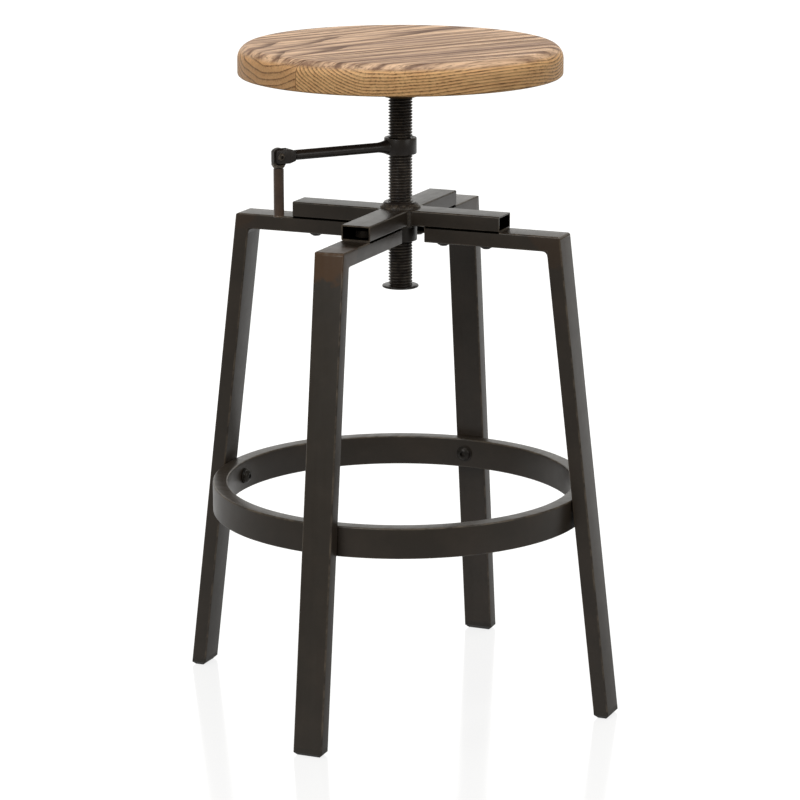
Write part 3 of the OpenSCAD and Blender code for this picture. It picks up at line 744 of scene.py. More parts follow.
@dataclass
class Seat:
    """The round wooden seat, glued up from three boards."""

    diameter: float = 321.0
    thickness: float = 30.0
    underside: float = 634.5
    top_radius: float = 13.5
    bottom_radius: float = 2.5
    grain_deg: float = GRAIN_DEG
    pocket_radius: float = 20.0
    pocket_depth: float = 13.9
    glue_front: float = -46.0
    glue_back: float = 80.0

    def profile(self) -> list[tuple[float, float]]:
        """Lists the turned profile's points.

        Returns:
            Their radii and heights, from the pocket's centre round to the top's centre.
        """
        rim = self.diameter / 2
        low, high = self.underside, self.underside + self.thickness
        under = [(rim - self.bottom_radius * (1 - math.sin(math.radians(a))),
                  low + self.bottom_radius * (1 - math.cos(math.radians(a)))) for a in range(0, 91, 30)]
        over = [(rim - self.top_radius * (1 - math.cos(math.radians(a))),
                 high - self.top_radius * (1 - math.sin(math.radians(a)))) for a in range(0, 91, 10)]
        pocket = [(0, low + self.pocket_depth), (self.pocket_radius, low + self.pocket_depth),
                  (self.pocket_radius, low)]
        # The points at 50 to 110 mm split the flat faces, so that none is a long sliver
        return pocket + [(60, low), (110, low)] + under + over + [(100, high), (50, high), (0, high)]

    def board(self, low: float, high: float) -> BMesh:
        """Cuts one board out of the turned disc.

        Args:
            low: the board's lower limit across the grain.
            high: its upper limit.

        Returns:
            The board's mesh.
        """
        across = Vector((-math.sin(math.radians(self.grain_deg)), math.cos(math.radians(self.grain_deg)), 0))
        bm = bmesh.new()
        lathe(bm, self.profile(), steps=192)
        if high < self.diameter / 2:
            cut(bm, across * high, across)
        if low > -self.diameter / 2:
            cut(bm, across * low, -across)
        return bm

    def build(self) -> None:
        """Makes the three boards, each with the rings of its own tree."""
        rim = self.diameter / 2
        front_line, back_line = self.glue_front, self.glue_back
        # A line beyond the rim doesn't show
        beyond = 2 * self.diameter
        back = OiledWood("oiled_ash_back", across_mm=118, above_mm=700, lean_deg=1.5, seed=0.31,
                         edges_mm=(back_line, beyond), apex_mm=(-420, 60), line_mm=0.5)
        middle = OiledWood("oiled_ash_middle", across_mm=4, above_mm=755, lean_deg=-2.0, seed=0.0,
                           edges_mm=(front_line, back_line), apex_mm=(-156, -6), line_mm=3.2, ring_mm=6.2,
                           lit_end_tone="E8BB86", lit_end_early="E0A672")
        front = OiledWood("oiled_ash_front", across_mm=-130, above_mm=749, lean_deg=1.6, seed=0.72,
                          edges_mm=(front_line, -beyond), apex_mm=(-420, -30), line_mm=0.5)
        boards = {
            "seat_board_back": (back_line, rim, back),
            "seat_board_middle": (front_line, back_line, middle),
            "seat_board_front": (-rim, front_line, front),
        }
        for node, (low, high, wood) in boards.items():
            finish_piece(self.board(low, high), node + "_shown", Body.SEAT, wood.material(), [node])


@dataclass
class Column:
    """The threaded column with the spigot at its head, and its stop disc."""

    thread_radius: float = 12.0
    root_radius: float = 10.16
    pitch: float = 3.0
    bottom: float = 423.0
    top: float = 612.0
    spigot_radius: float = 9.0
    spigot_top: float = 635.0
    stop_radius: float = 18.25
    stop_thickness: float = 2.3
    stop_bore: float = 4.2
    steps_per_turn: int = 40

    def thread(self) -> BMesh:
        """Winds the thread's profile up the column and cuts it level at both ends.

        Returns:
            The column's mesh.
        """
        bm = bmesh.new()
        wear_and_highlight = bm.verts.layers.float.new(WEAR_AND_HIGHLIGHT)
        crest, root, pitch = self.thread_radius, self.root_radius, self.pitch
        # One turn from crest to crest: the crest's land, a flank, the root's land and the other flank
        shape = [(crest - 0.2, 0.0), (crest, 0.18), (crest, 0.72), (crest - 0.2, 0.9), (root + 0.15, 1.7),
                 (root, 1.85), (root, 2.05), (root + 0.15, 2.2), (crest - 0.2, pitch)]
        verts = [bm.verts.new((r, 0, self.bottom - pitch + z)) for r, z in shape]
        edges = [bm.edges.new(pair) for pair in zip(verts, verts[1:])]
        bmesh.ops.spin(bm, geom=verts + edges, cent=(0, 0, 0), axis=(0, 0, 1),
                       dvec=(0, 0, pitch / self.steps_per_turn), angle=FULL_TURN,
                       steps=self.steps_per_turn, use_merge=False, use_duplicate=False)
        # Painted highlight with rubbing: the crests are marked to take the pale colour, which also stands in for
        # light on the flanks
        for vert in bm.verts:
            vert[wear_and_highlight] = 1.0 if math.hypot(vert.co.x, vert.co.y) > crest - 0.3 else 0.0
        one_turn = everything(bm)
        turns = round((self.top - self.bottom) / pitch) + 2
        for turn in range(1, turns):
            copy = bmesh.ops.duplicate(bm, geom=one_turn)["geom"]
            bmesh.ops.translate(bm, vec=(0, 0, turn * pitch), verts=points_in(copy))
        bmesh.ops.remove_doubles(bm, verts=bm.verts, dist=1e-3)
        cut(bm, (0, 0, self.bottom), (0, 0, -1))
        cut(bm, (0, 0, self.top), (0, 0, 1))
        bmesh.ops.recalc_face_normals(bm, faces=bm.faces)
        lathe(bm, [(0, self.top - 2), (self.spigot_radius, self.top - 2),
                   (self.spigot_radius, self.spigot_top - 0.6), (self.spigot_radius - 0.6, self.spigot_top),
                   (0, self.spigot_top)])
        return bm

    def disc(self) -> BMesh:
        """Turns the stop disc with its rolled edge.

        Returns:
            The disc's mesh.
        """
        bm = bmesh.new()
        rim, bore, low, high = self.stop_radius, self.stop_bore, self.bottom - self.stop_thickness, self.bottom
        lathe(bm, [(bore, low), (rim - 0.9, low), (rim - 0.25, low + 0.3), (rim, low + 0.9), (rim, high - 0.9),
                   (rim - 0.25, high - 0.3), (rim - 0.9, high), (bore, high)], steps=96, closed=True)
        return bm

    def build(self, steel: Material) -> None:
        """Makes the column's pieces.

        Args:
            steel: the dark steel of the column.
        """
        finish_piece(self.thread(), "thread", Body.SCREW, steel, ["height_screw"], smooth=50)
        finish_piece(self.disc(), "stop_plate", Body.SCREW, steel, ["stop_disc"])


@dataclass
class Crank:
    """The crank on the column, with the handle that folds in its fork.

    The arm's flare is given as its radius at distances from the hub's side.
    """

    direction_deg: float = 232.0
    height: float = 563.0
    hub_radius: float = 16.2
    hub_height: float = 16.5
    hub_rise: float = 0.5
    bore: float = 12.05
    arm_radius: float = 5.0
    reach: float = 135.5
    fork_radius: float = 7.0
    fork_half_width: float = 6.0
    nose: float = 4.4
    slot_half_width: float = 3.0
    fork_back: float = 16.5
    slot_back: float = 9.3
    neck_radius: float = 6.5
    grip_radius: float = 5.1
    lip_radius: float = 5.6
    spindle_radius: float = 3.0
    neck_start: float = 7.6
    neck_end: float = 11.4
    grip_length: float = 47.8
    grip_gap: float = 0.3
    tongue_radius: float = 8.5
    rivet_radius: float = 4.0
    rivet_height: float = 0.6
    pivot_radius: float = 2.5
    pivot_head: ButtonHead = ButtonHead(radius=3.8, height=2.0, socket=1.5)
    pivot_tail: float = 1.5
    flare: tuple[tuple[float, float], ...] = ((7.4, -3.0), (7.3, -0.4), (6.7, 1.2), (6.1, 3.2), (5.5, 5.8))
    flare_length: float = 9.0

    @property
    def place(self) -> Matrix:
        """Matrix from the crank's own frame, with +X along the arm, to the stool's."""
        return moved(0, 0, self.height) @ turned(self.direction_deg)

    def arm(self) -> BMesh:
        """Builds the hub, the flared root, the round arm and the fork.

        Returns:
            The crank's mesh.
        """
        bm = bmesh.new()
        rim, bore = self.hub_radius, self.bore
        low, high = self.hub_rise - self.hub_height / 2, self.hub_rise + self.hub_height / 2
        lathe(bm, [(bore, low + 1.6), (bore + 1.6, low), (rim - 1.0, low), (rim - 0.3, low + 0.3),
                   (rim, low + 1.0), (rim, high - 1.0), (rim - 0.3, high - 0.3), (rim - 1.0, high),
                   (bore + 1.6, high), (bore, high - 1.6)], steps=72, closed=True)
        along = turned(90, "Y")
        end = self.reach - self.fork_back + 1
        arm = self.arm_radius
        flare = [(radius, rim + away) for radius, away in self.flare]
        lathe(bm, [(0, flare[0][1])] + flare
              + [(arm, rim + self.flare_length), (arm, end - 2.6), (arm - 0.5, end - 2.2), (arm - 0.5, end),
                 (0, end)], steps=32, place=along)
        self.fork(bm)
        # Painted highlight with rubbing: the hub's upper and lower edges take the pale colour
        mark(bm, WEAR_AND_HIGHLIGHT, lambda p: rim - 0.5 < math.hypot(p.x, p.y) < rim - 0.1 and abs(p.z - self.hub_rise) > 7)
        bmesh.ops.transform(bm, matrix=self.place, verts=bm.verts)
        return bm

    def fork(self, bm: BMesh) -> None:
        """Adds the flattened end with its two cheeks.

        Args:
            bm: the crank's mesh.
        """
        radius, back, mid = self.fork_radius, self.fork_back, self.slot_back
        stand = turned(90, "X")
        arm = self.arm_radius
        body = [(-back, -arm), (-back * 0.62, -radius), (-mid + 0.2, -radius), (-mid + 0.2, radius),
                (-back * 0.62, radius), (-back, arm)]
        outer = self.fork_half_width
        prism(bm, body, 2 * outer, 0.9, moved(self.reach, outer, 0) @ stand)
        nose = self.nose
        cheek = [(-mid - 1.5, -radius), (nose - 2.6, -radius), (nose - 0.8, -radius + 0.9),
                 (nose, -radius + 2.6), (nose, radius - 2.0), (nose - 0.6, radius - 0.6),
                 (nose - 2.0, radius), (-mid - 1.5, radius)]
        thick = outer - self.slot_half_width
        for face in (outer, -self.slot_half_width):
            prism(bm, cheek, thick, 0.6, moved(self.reach, face, 0) @ stand)

    def stem(self) -> BMesh:
        """Builds the handle's tongue, neck, spindle and riveted end.

        Returns:
            The stem's mesh.
        """
        bm = bmesh.new()
        thick = self.slot_half_width - 0.2
        lie = turned(90, "X")
        neck, grip, pin = self.neck_radius, self.grip_radius, self.spindle_radius
        hole, tongue, rivet = self.pivot_radius + 0.05, self.tongue_radius, self.rivet_radius
        lathe(bm, [(hole, -thick), (tongue - 0.3, -thick), (tongue, -thick + 0.3), (tongue, thick - 0.3),
                   (tongue - 0.3, thick), (hole, thick)], steps=48, closed=True, place=lie)
        for side in (-1, 1):
            cut(bm, (side * neck, 0, 0), (side, 0, 0))
        prism(bm, [(-neck, -8.6), (neck, -8.6), (neck, -5.2), (-neck, -5.2)], 2 * thick, 0.2,
              moved(0, thick, 0) @ lie)
        end = self.neck_end + self.grip_length + 2 * self.grip_gap + self.rivet_height
        top, foot = -self.neck_start, -self.neck_end
        low = -end + self.rivet_height
        lathe(bm, [(0, top), (neck - 0.6, top), (neck, top - 0.6), (neck - 0.1, top - 1.2),
                   (grip + 0.6, foot + 0.9), (grip, foot + 0.5), (grip - 0.3, foot + 0.2), (pin, foot + 0.2),
                   (pin, low), (rivet, low), (rivet - 0.2, -end + 0.15), (rivet - 0.5, -end), (0, -end)], steps=40)
        # Painted highlight with rubbing: the whole neck takes the pale colour
        mark(bm, WEAR_AND_HIGHLIGHT, lambda p: foot + 0.8 < p.z < top - 0.5)
        bmesh.ops.transform(bm, matrix=self.place @ moved(self.reach, 0, 0), verts=bm.verts)
        return bm

    def grip(self) -> BMesh:
        """Turns the thin sleeve that spins on the spindle.

        Returns:
            The sleeve's mesh.
        """
        bm = bmesh.new()
        top = -self.neck_end - self.grip_gap
        low = top - self.grip_length
        bore, rim, lip = self.spindle_radius + 0.05, self.grip_radius, self.lip_radius
        lathe(bm, [(bore, top), (rim - 0.6, top), (rim, top - 0.6), (rim, low + 2.0), (lip - 0.1, low + 1.5),
                   (lip, low + 1.2), (lip, low + 0.4), (lip - 0.3, low), (bore, low)], steps=40, closed=True)
        # Painted highlight with rubbing: the lip and the top edge take the pale colour
        mark(bm, WEAR_AND_HIGHLIGHT, lambda p: p.z < low + 1.6 or p.z > top - 0.3)
        bmesh.ops.transform(bm, matrix=self.place @ moved(self.reach, 0, 0), verts=bm.verts)
        return bm

    def pivot(self) -> BMesh:
        """Builds the screw that the handle folds on: its head, its shank and its riveted tail.

        Returns:
            The screw's mesh.
        """
        bm = bmesh.new()
        half, shank = self.fork_half_width, self.pivot_radius
        place = self.place @ moved(self.reach, 0, 0) @ turned(-90, "X")
        head = place @ moved(0, 0, half)
        self.pivot_head.add(bm, head)
        tail = half + self.pivot_tail
        lathe(bm, [(0, -tail), (shank + 0.6, -tail), (shank + 1, 0.4 - tail), (shank + 1, -half),
                   (shank, -half), (shank, half + 0.2), (0, half + 0.2)], steps=32, place=place)
        back = head.inverted()
        worn_and_lit = self.pivot_head.socket + 0.5
        # The head above its foot takes the pale colour, painted highlight with rubbing, all but the socket
        mark(bm, WEAR_AND_HIGHLIGHT, lambda p: (back @ p).z > 0.1 and (back @ p).xy.length > worn_and_lit)
        return bm

    def build(self, steel: Material, handle: Material, screw: Material) -> None:
        """Makes the crank, the pivot screw, the stem and the grip.

        Args:
            steel: the dark steel of the crank.
            handle: the browned steel of the grip.
            screw: the steel of the pivot screw and the stem, pale where rubbing shows and where highlights are
                painted.
        """
        finish_piece(self.arm(), "crank_arm", Body.SCREW, steel, ["crank"])
        finish_piece(self.pivot(), "pivot_screw", Body.SCREW, screw, ["handle_pivot"])
        finish_piece(self.stem(), "handle_neck", Body.HANDLE, screw, ["handle_stem"])
        finish_piece(self.grip(), "handle_grip", Body.GRIP, handle, ["grip_sleeve"])


@dataclass
class Base:
    """The four-legged tube frame: cross arms, rails, posts, sleeve and welds."""

    tube_width: float = 30.5
    tube_height: float = 15.5
    wall: float = 1.5
    corner: float = 1.6
    arm_top: float = 501.5
    arm_reach: float = 111.0
    rail_start: float = 32.0
    leg_reach: float = 174.5
    foot_reach: float = 232.0
    corner_radius: float = 4.0
    plug_height: float = 8.0
    sleeve_radius: float = 16.7
    sleeve_bore: float = 12.05
    sleeve_low: float = 468.5
    sleeve_high: float = 507.5
    bead_width: float = 3.6
    bead_rises: tuple[float, float] = (4.6, 3.6)
    pillar_half_width: float = 3.8
    fillet: float = 5.0
    # Width of the loops that bound the painted shade between arms and rails
    seam_edge: float = 0.1
    hollow_share: float = 0.82

    @property
    def rail_top(self) -> float:
        """Height of the rails' top faces."""
        return self.arm_top - self.tube_height

    @property
    def splay(self) -> float:
        """Lean of the posts from the vertical, in radians."""
        return math.atan((self.foot_reach - self.leg_reach) / self.rail_top)

    def bar(self, start: float, end: float, mouth: Mouth = Mouth.NONE) -> BMesh:
        """Extrudes the tube along +X, its top face at height zero.

        Args:
            start: where it begins.
            end: where it stops.
            mouth: its open end.

        Returns:
            The bar's mesh.
        """
        bm = bmesh.new()
        face = rounded_section(bm, self.tube_width, self.tube_height, self.corner)
        made = bmesh.ops.extrude_face_region(bm, geom=[face])["geom"]
        ends = points_in(made)
        bmesh.ops.translate(bm, vec=(0, 0, end - start), verts=ends)
        stand = Matrix(((0, 0, 1, start), (1, 0, 0, 0), (0, 1, 0, -self.tube_height / 2), (0, 0, 0, 1)))
        bmesh.ops.transform(bm, matrix=stand, verts=bm.verts)
        bmesh.ops.recalc_face_normals(bm, faces=bm.faces)
        if mouth is not Mouth.NONE:
            opening = [f for f in bm.faces if f.normal.x * mouth.value > 0.9]
            bmesh.ops.inset_region(bm, faces=opening, thickness=self.wall, use_even_offset=True)
            inner = bmesh.ops.extrude_face_region(bm, geom=opening)["geom"]
            bmesh.ops.delete(bm, geom=opening, context="FACES_ONLY")
            depth = (end - start) * self.hollow_share
            bmesh.ops.translate(bm, vec=(-mouth.value * depth, 0, 0), verts=points_in(inner))
            bmesh.ops.recalc_face_normals(bm, faces=bm.faces)
        return bm

    def mitre(self, bm: BMesh, keep_rail: bool) -> None:
        """Cuts the mesh along the plane where a rail and a post meet.

        Args:
            bm: the mesh that is cut.
            keep_rail: whether the rail's side stays.
        """
        tilt = math.radians(90) / 2 - self.splay / 2
        normal = Vector((math.cos(tilt), 0, -math.sin(tilt)))
        cut(bm, (self.leg_reach, 0, self.rail_top), normal if keep_rail else -normal)

    def round_corner(self, bm: BMesh) -> None:
        """Rounds the ground outer corner of a leg with a row of tangent cuts.

        Args:
            bm: a rail or a post that is already mitred.
        """
        radius, lean = self.corner_radius, self.splay
        inset = radius * (1 - math.sin(lean)) / math.cos(lean)
        centre = Vector((self.leg_reach - inset, 0, self.rail_top - radius))
        for step in range(1, 8):
            turn = lean + (math.radians(90) - lean) * step / 8
            normal = Vector((math.cos(turn), 0, math.sin(turn)))
            cut(bm, centre + normal * radius, normal)

    def cross_arm(self) -> BMesh:
        """Builds the arm that points east.

        Returns:
            The arm's mesh.
        """
        bm = self.bar(self.sleeve_bore + 1.5, self.arm_reach, Mouth.FAR)
        bmesh.ops.translate(bm, vec=(0, 0, self.arm_top), verts=bm.verts)
        for side in (-1, 1):
            cut(bm, (0, 0, 0), (-1, side, 0))
        score(bm, (self.arm_reach - 1.0, 0, 0), (1, 0, 0))
        for side in (-1, 1):
            score(bm, (self.rail_start + side * self.seam_edge, 0, 0), (1, 0, 0))
        low = self.rail_top + self.corner * 0.5
        # Painted highlight with rubbing: the rim of the open mouth takes the pale colour
        mark(bm, WEAR_AND_HIGHLIGHT, lambda p: p.x > self.arm_reach - 0.5)
        # Painted shade: the arm's lower corners over the rail go near black
        mark(bm, SEAM, lambda p: p.z < low and self.rail_start < p.x < self.arm_reach - 0.5)
        # Painted shade: the arm's inside goes near black
        wall = self.wall - self.seam_edge
        half, floor, top = self.tube_width / 2 - wall, self.rail_top + wall, self.arm_top - wall
        mark(bm, SEAM, lambda p: abs(p.y) < half and floor < p.z < top and p.x < self.arm_reach - 0.5)
        return bm

    def leg_rail(self) -> BMesh:
        """Builds the rail that points east.

        Returns:
            The rail's mesh.
        """
        # It reaches past the mitre, where it is cut
        bm = self.bar(self.rail_start, self.leg_reach + 8, Mouth.NEAR)
        bmesh.ops.translate(bm, vec=(0, 0, self.rail_top), verts=bm.verts)
        self.mitre(bm, True)
        self.round_corner(bm)
        for reach in (self.rail_start + 1.0, self.arm_reach - self.seam_edge, self.arm_reach + self.seam_edge):
            score(bm, (reach, 0, 0), (1, 0, 0))
        half, low = self.tube_width / 2 - 0.05, self.rail_top - self.corner * 0.9
        # Painted highlight with rubbing: the rim of the rail's open mouth takes the pale colour
        mark(bm, WEAR_AND_HIGHLIGHT, lambda p: p.x < self.rail_start + 0.5)
        # Painted shade: the rail's upper corners under the arm go near black
        mark(bm, SEAM, lambda p: p.z > low and abs(p.y) < half and self.rail_start + 0.5 < p.x < self.arm_reach)
        return bm

    def leg_post(self) -> BMesh:
        """Builds the post that stands on the east side.

        Returns:
            The post's mesh.
        """
        # It reaches past the mitre and the foot plug, where it is cut
        bm = self.bar(-10, self.rail_top / math.cos(self.splay) + 12)
        stand = moved(-self.tube_height, 0, 0) @ turned(-90, "Y")
        lean = moved(self.foot_reach, 0, 0) @ Matrix.Rotation(-self.splay, 4, "Y")
        bmesh.ops.transform(bm, matrix=lean @ stand, verts=bm.verts)
        self.mitre(bm, False)
        self.round_corner(bm)
        cut(bm, (0, 0, self.plug_height), (0, 0, -1))
        return bm

    def corner_bead(self) -> BMesh:
        """Builds the ground fillets in the legs' inner corners.

        Returns:
            The four fillets as one mesh.
        """
        bm = bmesh.new()
        lean, size = self.splay, self.fillet
        slope = self.tube_height / math.cos(lean)
        low = self.rail_top - self.tube_height
        corner = self.foot_reach - low * math.tan(lean) - slope
        down = Vector((math.sin(lean), -math.cos(lean)))
        curve = [Vector((-size, 0)) * (1 - t) ** 2 + down * size * t ** 2 for t in (0, 0.2, 0.4, 0.6, 0.8, 1)]
        outline = [(1.0, 1.0), (-size, 1.0)] + [(p.x, p.y) for p in curve]
        outline.append((down.x * size + 1, down.y * size))
        half = self.tube_width / 2 - 1.2
        for side in Side:
            place = turned(side.value) @ moved(corner, half, low) @ turned(90, "X")
            prism(bm, outline, 2 * half, 0, place)
        return bm

    def sleeve(self) -> BMesh:
        """Turns the sleeve nut with its chamfered mouth.

        Returns:
            The sleeve's mesh.
        """
        bm = bmesh.new()
        rim, bore, low, high = self.sleeve_radius, self.sleeve_bore, self.sleeve_low, self.sleeve_high
        lathe(bm, [(bore, low + 1), (bore + 1, low), (rim - 0.6, low), (rim, low + 0.6), (rim, high - 0.8),
                   (rim - 0.8, high), (bore + 1, high), (bore, high - 1)], steps=72, closed=True)
        return bm

    def hub_beads(self) -> BMesh:
        """Builds the rough weld beads around the sleeve and between the arms.

        Returns:
            The beads as one mesh, its raised ripples marked to take the pale colour of rubbing and painted
            highlight.
        """
        bm = bmesh.new()
        wear_and_highlight = bm.verts.layers.float.new(WEAR_AND_HIGHLIGHT)
        rim, foot = self.sleeve_radius, self.bead_width
        for height, way, rise in zip((self.arm_top, self.rail_top), (1, -1), self.bead_rises):
            slope = [(rim + foot * (1 - t), height + way * (0.6 + (rise - 0.6) * t ** 0.85))
                     for t in (0.1, 0.25, 0.4, 0.55, 0.7, 0.85, 1.0)]
            ridged = [(r + (0.35 if i % 2 else -0.15), z) for i, (r, z) in enumerate(slope)]
            lathe(bm, [(rim - 0.5, height - way * 0.5), (rim + foot, height - way * 0.5)] + ridged
                  + [(rim - 0.5, height + way * rise)], steps=216, closed=True)
        for quarter in range(4):
            turn = turned(45 + 90 * quarter)
            half = self.pillar_half_width
            bead = [(19.8, -1.6), (22.8, -half), (24.0, -half * 0.55), (24.5, 0), (24.0, half * 0.55),
                    (22.8, half), (19.8, 1.6)]
            height = self.tube_height - 0.4
            made = prism(bm, bead, height, 0, turn @ moved(0, 0, self.rail_top + 0.2))
            edges = list({e for f in faces_at(made) for e in f.edges
                          if abs(e.verts[0].co.z - e.verts[1].co.z) > 5})
            bmesh.ops.subdivide_edges(bm, edges=edges, cuts=13, use_grid_fill=True)
        for vert in bm.verts:
            reach = math.hypot(vert.co.x, vert.co.y)
            around = Vector((vert.co.x, vert.co.y)) / max(reach, 1.0)
            # Broad ripples of the torch's steps, with a finer grain over them
            ridge = Vector((around.x * 2.6, around.y * 2.6, reach * 0.8 + vert.co.z * 0.9))
            ripple = noise.noise(ridge) * 0.55 + noise.noise(vert.co * 0.8) * 0.35
            # Raised ripples take the pale colour: painted highlight with rubbing
            vert[wear_and_highlight] = min(1.0, max(0.0, 0.35 + ripple * 1.8))
            if reach > rim + 0.4:
                vert.co.x *= 1 + ripple / reach
                vert.co.y *= 1 + ripple / reach
        return bm

    def build(self, paint: Material, steel: Material, bead: Material) -> None:
        """Makes every piece of the base on all four sides.

        Args:
            paint: the lacquered steel of the tubes.
            steel: the dark steel of the sleeve.
            bead: the lacquered weld metal.
        """
        makers = {"cross_arm": self.cross_arm, "leg_rail": self.leg_rail, "leg_post": self.leg_post}
        for side in Side:
            for kind, maker in makers.items():
                bm = maker()
                bmesh.ops.transform(bm, matrix=turned(side.value), verts=bm.verts)
                node = f"{kind}_{side.name.lower()}"
                finish_piece(bm, node + "_shown", Body.FRAME, paint, [node])
        finish_piece(self.corner_bead(), "corner_fillets", Body.FRAME, paint, ["corner_welds"])
        finish_piece(self.sleeve(), "sleeve", Body.FRAME, steel, ["sleeve_nut"])
        finish_piece(self.hub_beads(), "hub_beads", Body.FRAME, bead, ["hub_welds"], smooth=60)


@dataclass
class Footrest:
    """The footrest ring with its bolts and washers."""

    outer: float = 189.96
    depth: float = 15.0
    height: float = 30.5
    top: float = 222.5
    corner: float = 1.6
    steps: int = 240
    bolt_height: float = 207.25
    washer_back: float = 174.75
    washer_radius: float = 8.0
    washer_thickness: float = 1.6
    bolt_hole: float = 4.2
    head: ButtonHead = ButtonHead()

    def ring(self) -> BMesh:
        """Bends the tube's section round the stool.

        Returns:
            The ring's mesh.
        """
        bm = bmesh.new()
        face = rounded_section(bm, self.depth, self.height, self.corner)
        stand = moved(self.outer - self.depth / 2, 0, self.top - self.height / 2)
        bmesh.ops.transform(bm, matrix=stand @ turned(90, "X"), verts=bm.verts)
        loop = list(face.verts) + list(face.edges)
        bmesh.ops.delete(bm, geom=[face], context="FACES_ONLY")
        bmesh.ops.spin(bm, geom=loop, cent=(0, 0, 0), axis=(0, 0, 1), dvec=(0, 0, 0), angle=FULL_TURN,
                       steps=self.steps, use_merge=True, use_duplicate=False)
        bmesh.ops.recalc_face_normals(bm, faces=bm.faces)
        return bm

    def places(self, reach: float) -> list[Matrix]:
        """Gives four places on the inside of the ring, a distance from the axis, that face the axis.

        Args:
            reach: the distance.

        Returns:
            One matrix for each side.
        """
        return [turned(side.value) @ moved(reach, 0, self.bolt_height) @ turned(-90, "Y") for side in Side]

    def bolts(self) -> BMesh:
        """Builds the four button heads with their sockets.

        Returns:
            The heads as one mesh.
        """
        bm = bmesh.new()
        for place in self.places(self.washer_back - self.washer_thickness):
            self.head.add(bm, place)
        return bm

    def washers(self) -> BMesh:
        """Turns the four washers.

        Returns:
            The washers as one mesh.
        """
        bm = bmesh.new()
        rim, bore, thick = self.washer_radius, self.bolt_hole, self.washer_thickness
        for place in self.places(self.washer_back):
            lathe(bm, [(bore, 0), (rim - 0.3, 0), (rim, 0.3), (rim, thick - 0.3), (rim - 0.3, thick),
                       (bore, thick)], steps=48, closed=True, place=place)
        return bm

    def build(self, paint: Material, fastener: Material) -> None:
        """Makes the ring and its fasteners.

        Args:
            paint: the lacquered steel of the ring.
            fastener: the blackened steel of its bolts.
        """
        finish_piece(self.ring(), "ring", Body.FRAME, paint, ["footrest_ring"])
        finish_piece(self.bolts(), "ring_bolt_heads", Body.FRAME, fastener, ["ring_bolts"])
        finish_piece(self.washers(), "ring_washer_faces", Body.FRAME, fastener, ["ring_washers"])


@dataclass
class Fasteners:
    """The small screws that show under the rails and on the column."""

    rail_radii: tuple[float, float] = (46.5, 92.0)
    rail_underside: float = 470.5
    rail_head: ButtonHead = ButtonHead()
    rail_shank: float = 23.5
    stop_underside: float = 420.7
    stop_head: ButtonHead = ButtonHead(radius=6.0, height=2.6)
    stop_shank: float = 17.0
    shank_radius: float = 4.0

    def bolt(self, bm: BMesh, head: ButtonHead, shank: float, place: Matrix) -> None:
        """Adds a bolt that stands head down, its shank's foot on its place.

        Args:
            bm: the mesh that receives it.
            head: the bolt's head.
            shank: the shank's length.
            place: where the head meets the shank.
        """
        head.add(bm, place @ turned(180, "X"))
        radius = self.shank_radius
        lathe(bm, [(0, 0), (radius, 0), (radius, shank), (0, shank)], steps=24, place=place)

    def build(self, fastener: Material) -> None:
        """Makes the rail bolts' heads and the stop bolt's head.

        Args:
            fastener: their blackened steel.
        """
        bm = bmesh.new()
        for side in Side:
            for radius in self.rail_radii:
                place = turned(side.value) @ moved(radius, 0, self.rail_underside)
                self.bolt(bm, self.rail_head, self.rail_shank, place)
        finish_piece(bm, "rail_bolt_heads", Body.FRAME, fastener, ["rail_bolts"])
        bm = bmesh.new()
        self.bolt(bm, self.stop_head, self.stop_shank, moved(0, 0, self.stop_underside))
        finish_piece(bm, "stop_bolt_head", Body.SCREW, fastener, ["stop_bolt"])


@dataclass
class CarriedOver:
    """CAD nodes whose shape stays, with a finish of their own."""

    fasteners: tuple[str, ...] = ("seat_screws", "keeper_washer", "keeper_bolt", "hub_grub_screw",
                                  "rail_nuts", "ring_nuts")
    painted: tuple[str, ...] = ("seat_plate",)
    bronze: tuple[str, ...] = ("seat_bush",)
    plastic: tuple[str, ...] = ("foot_plug_east", "foot_plug_north", "foot_plug_west", "foot_plug_south")

    def dress(self, nodes: Sequence[str], material: Material) -> None:
        """Gives some CAD nodes one material.

        Args:
            nodes: their names.
            material: what they are finished with.
        """
        for name in nodes:
            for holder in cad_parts[name].material_slots:
                holder.material = material
            LOG.info("%s: CAD node finished with %s", name, material.name)


@dataclass(frozen=True)
class Lamp:
    """One soft lamp: its place and size in metres, its power in watts, and the height that it faces."""

    name: str
    place: tuple[float, float, float]
    size: tuple[float, float]
    power: float
    aim_height: float = 0.35

    def hang(self) -> None:
        """Hangs the lamp out of the camera's sight, facing the column."""
        data = bpy.data.lights.new(self.name, "AREA")
        data.shape = "RECTANGLE"
        data.size, data.size_y = self.size
        data.energy = self.power
        lamp = bpy.data.objects.new(self.name, data)
        lamp.visible_camera = False
        lamp.location = self.place
        towards = Vector((0, 0, self.aim_height)) - Vector(self.place)
        lamp.rotation_euler = towards.to_track_quat("-Z", "Y").to_euler()
        bpy.context.collection.objects.link(lamp)


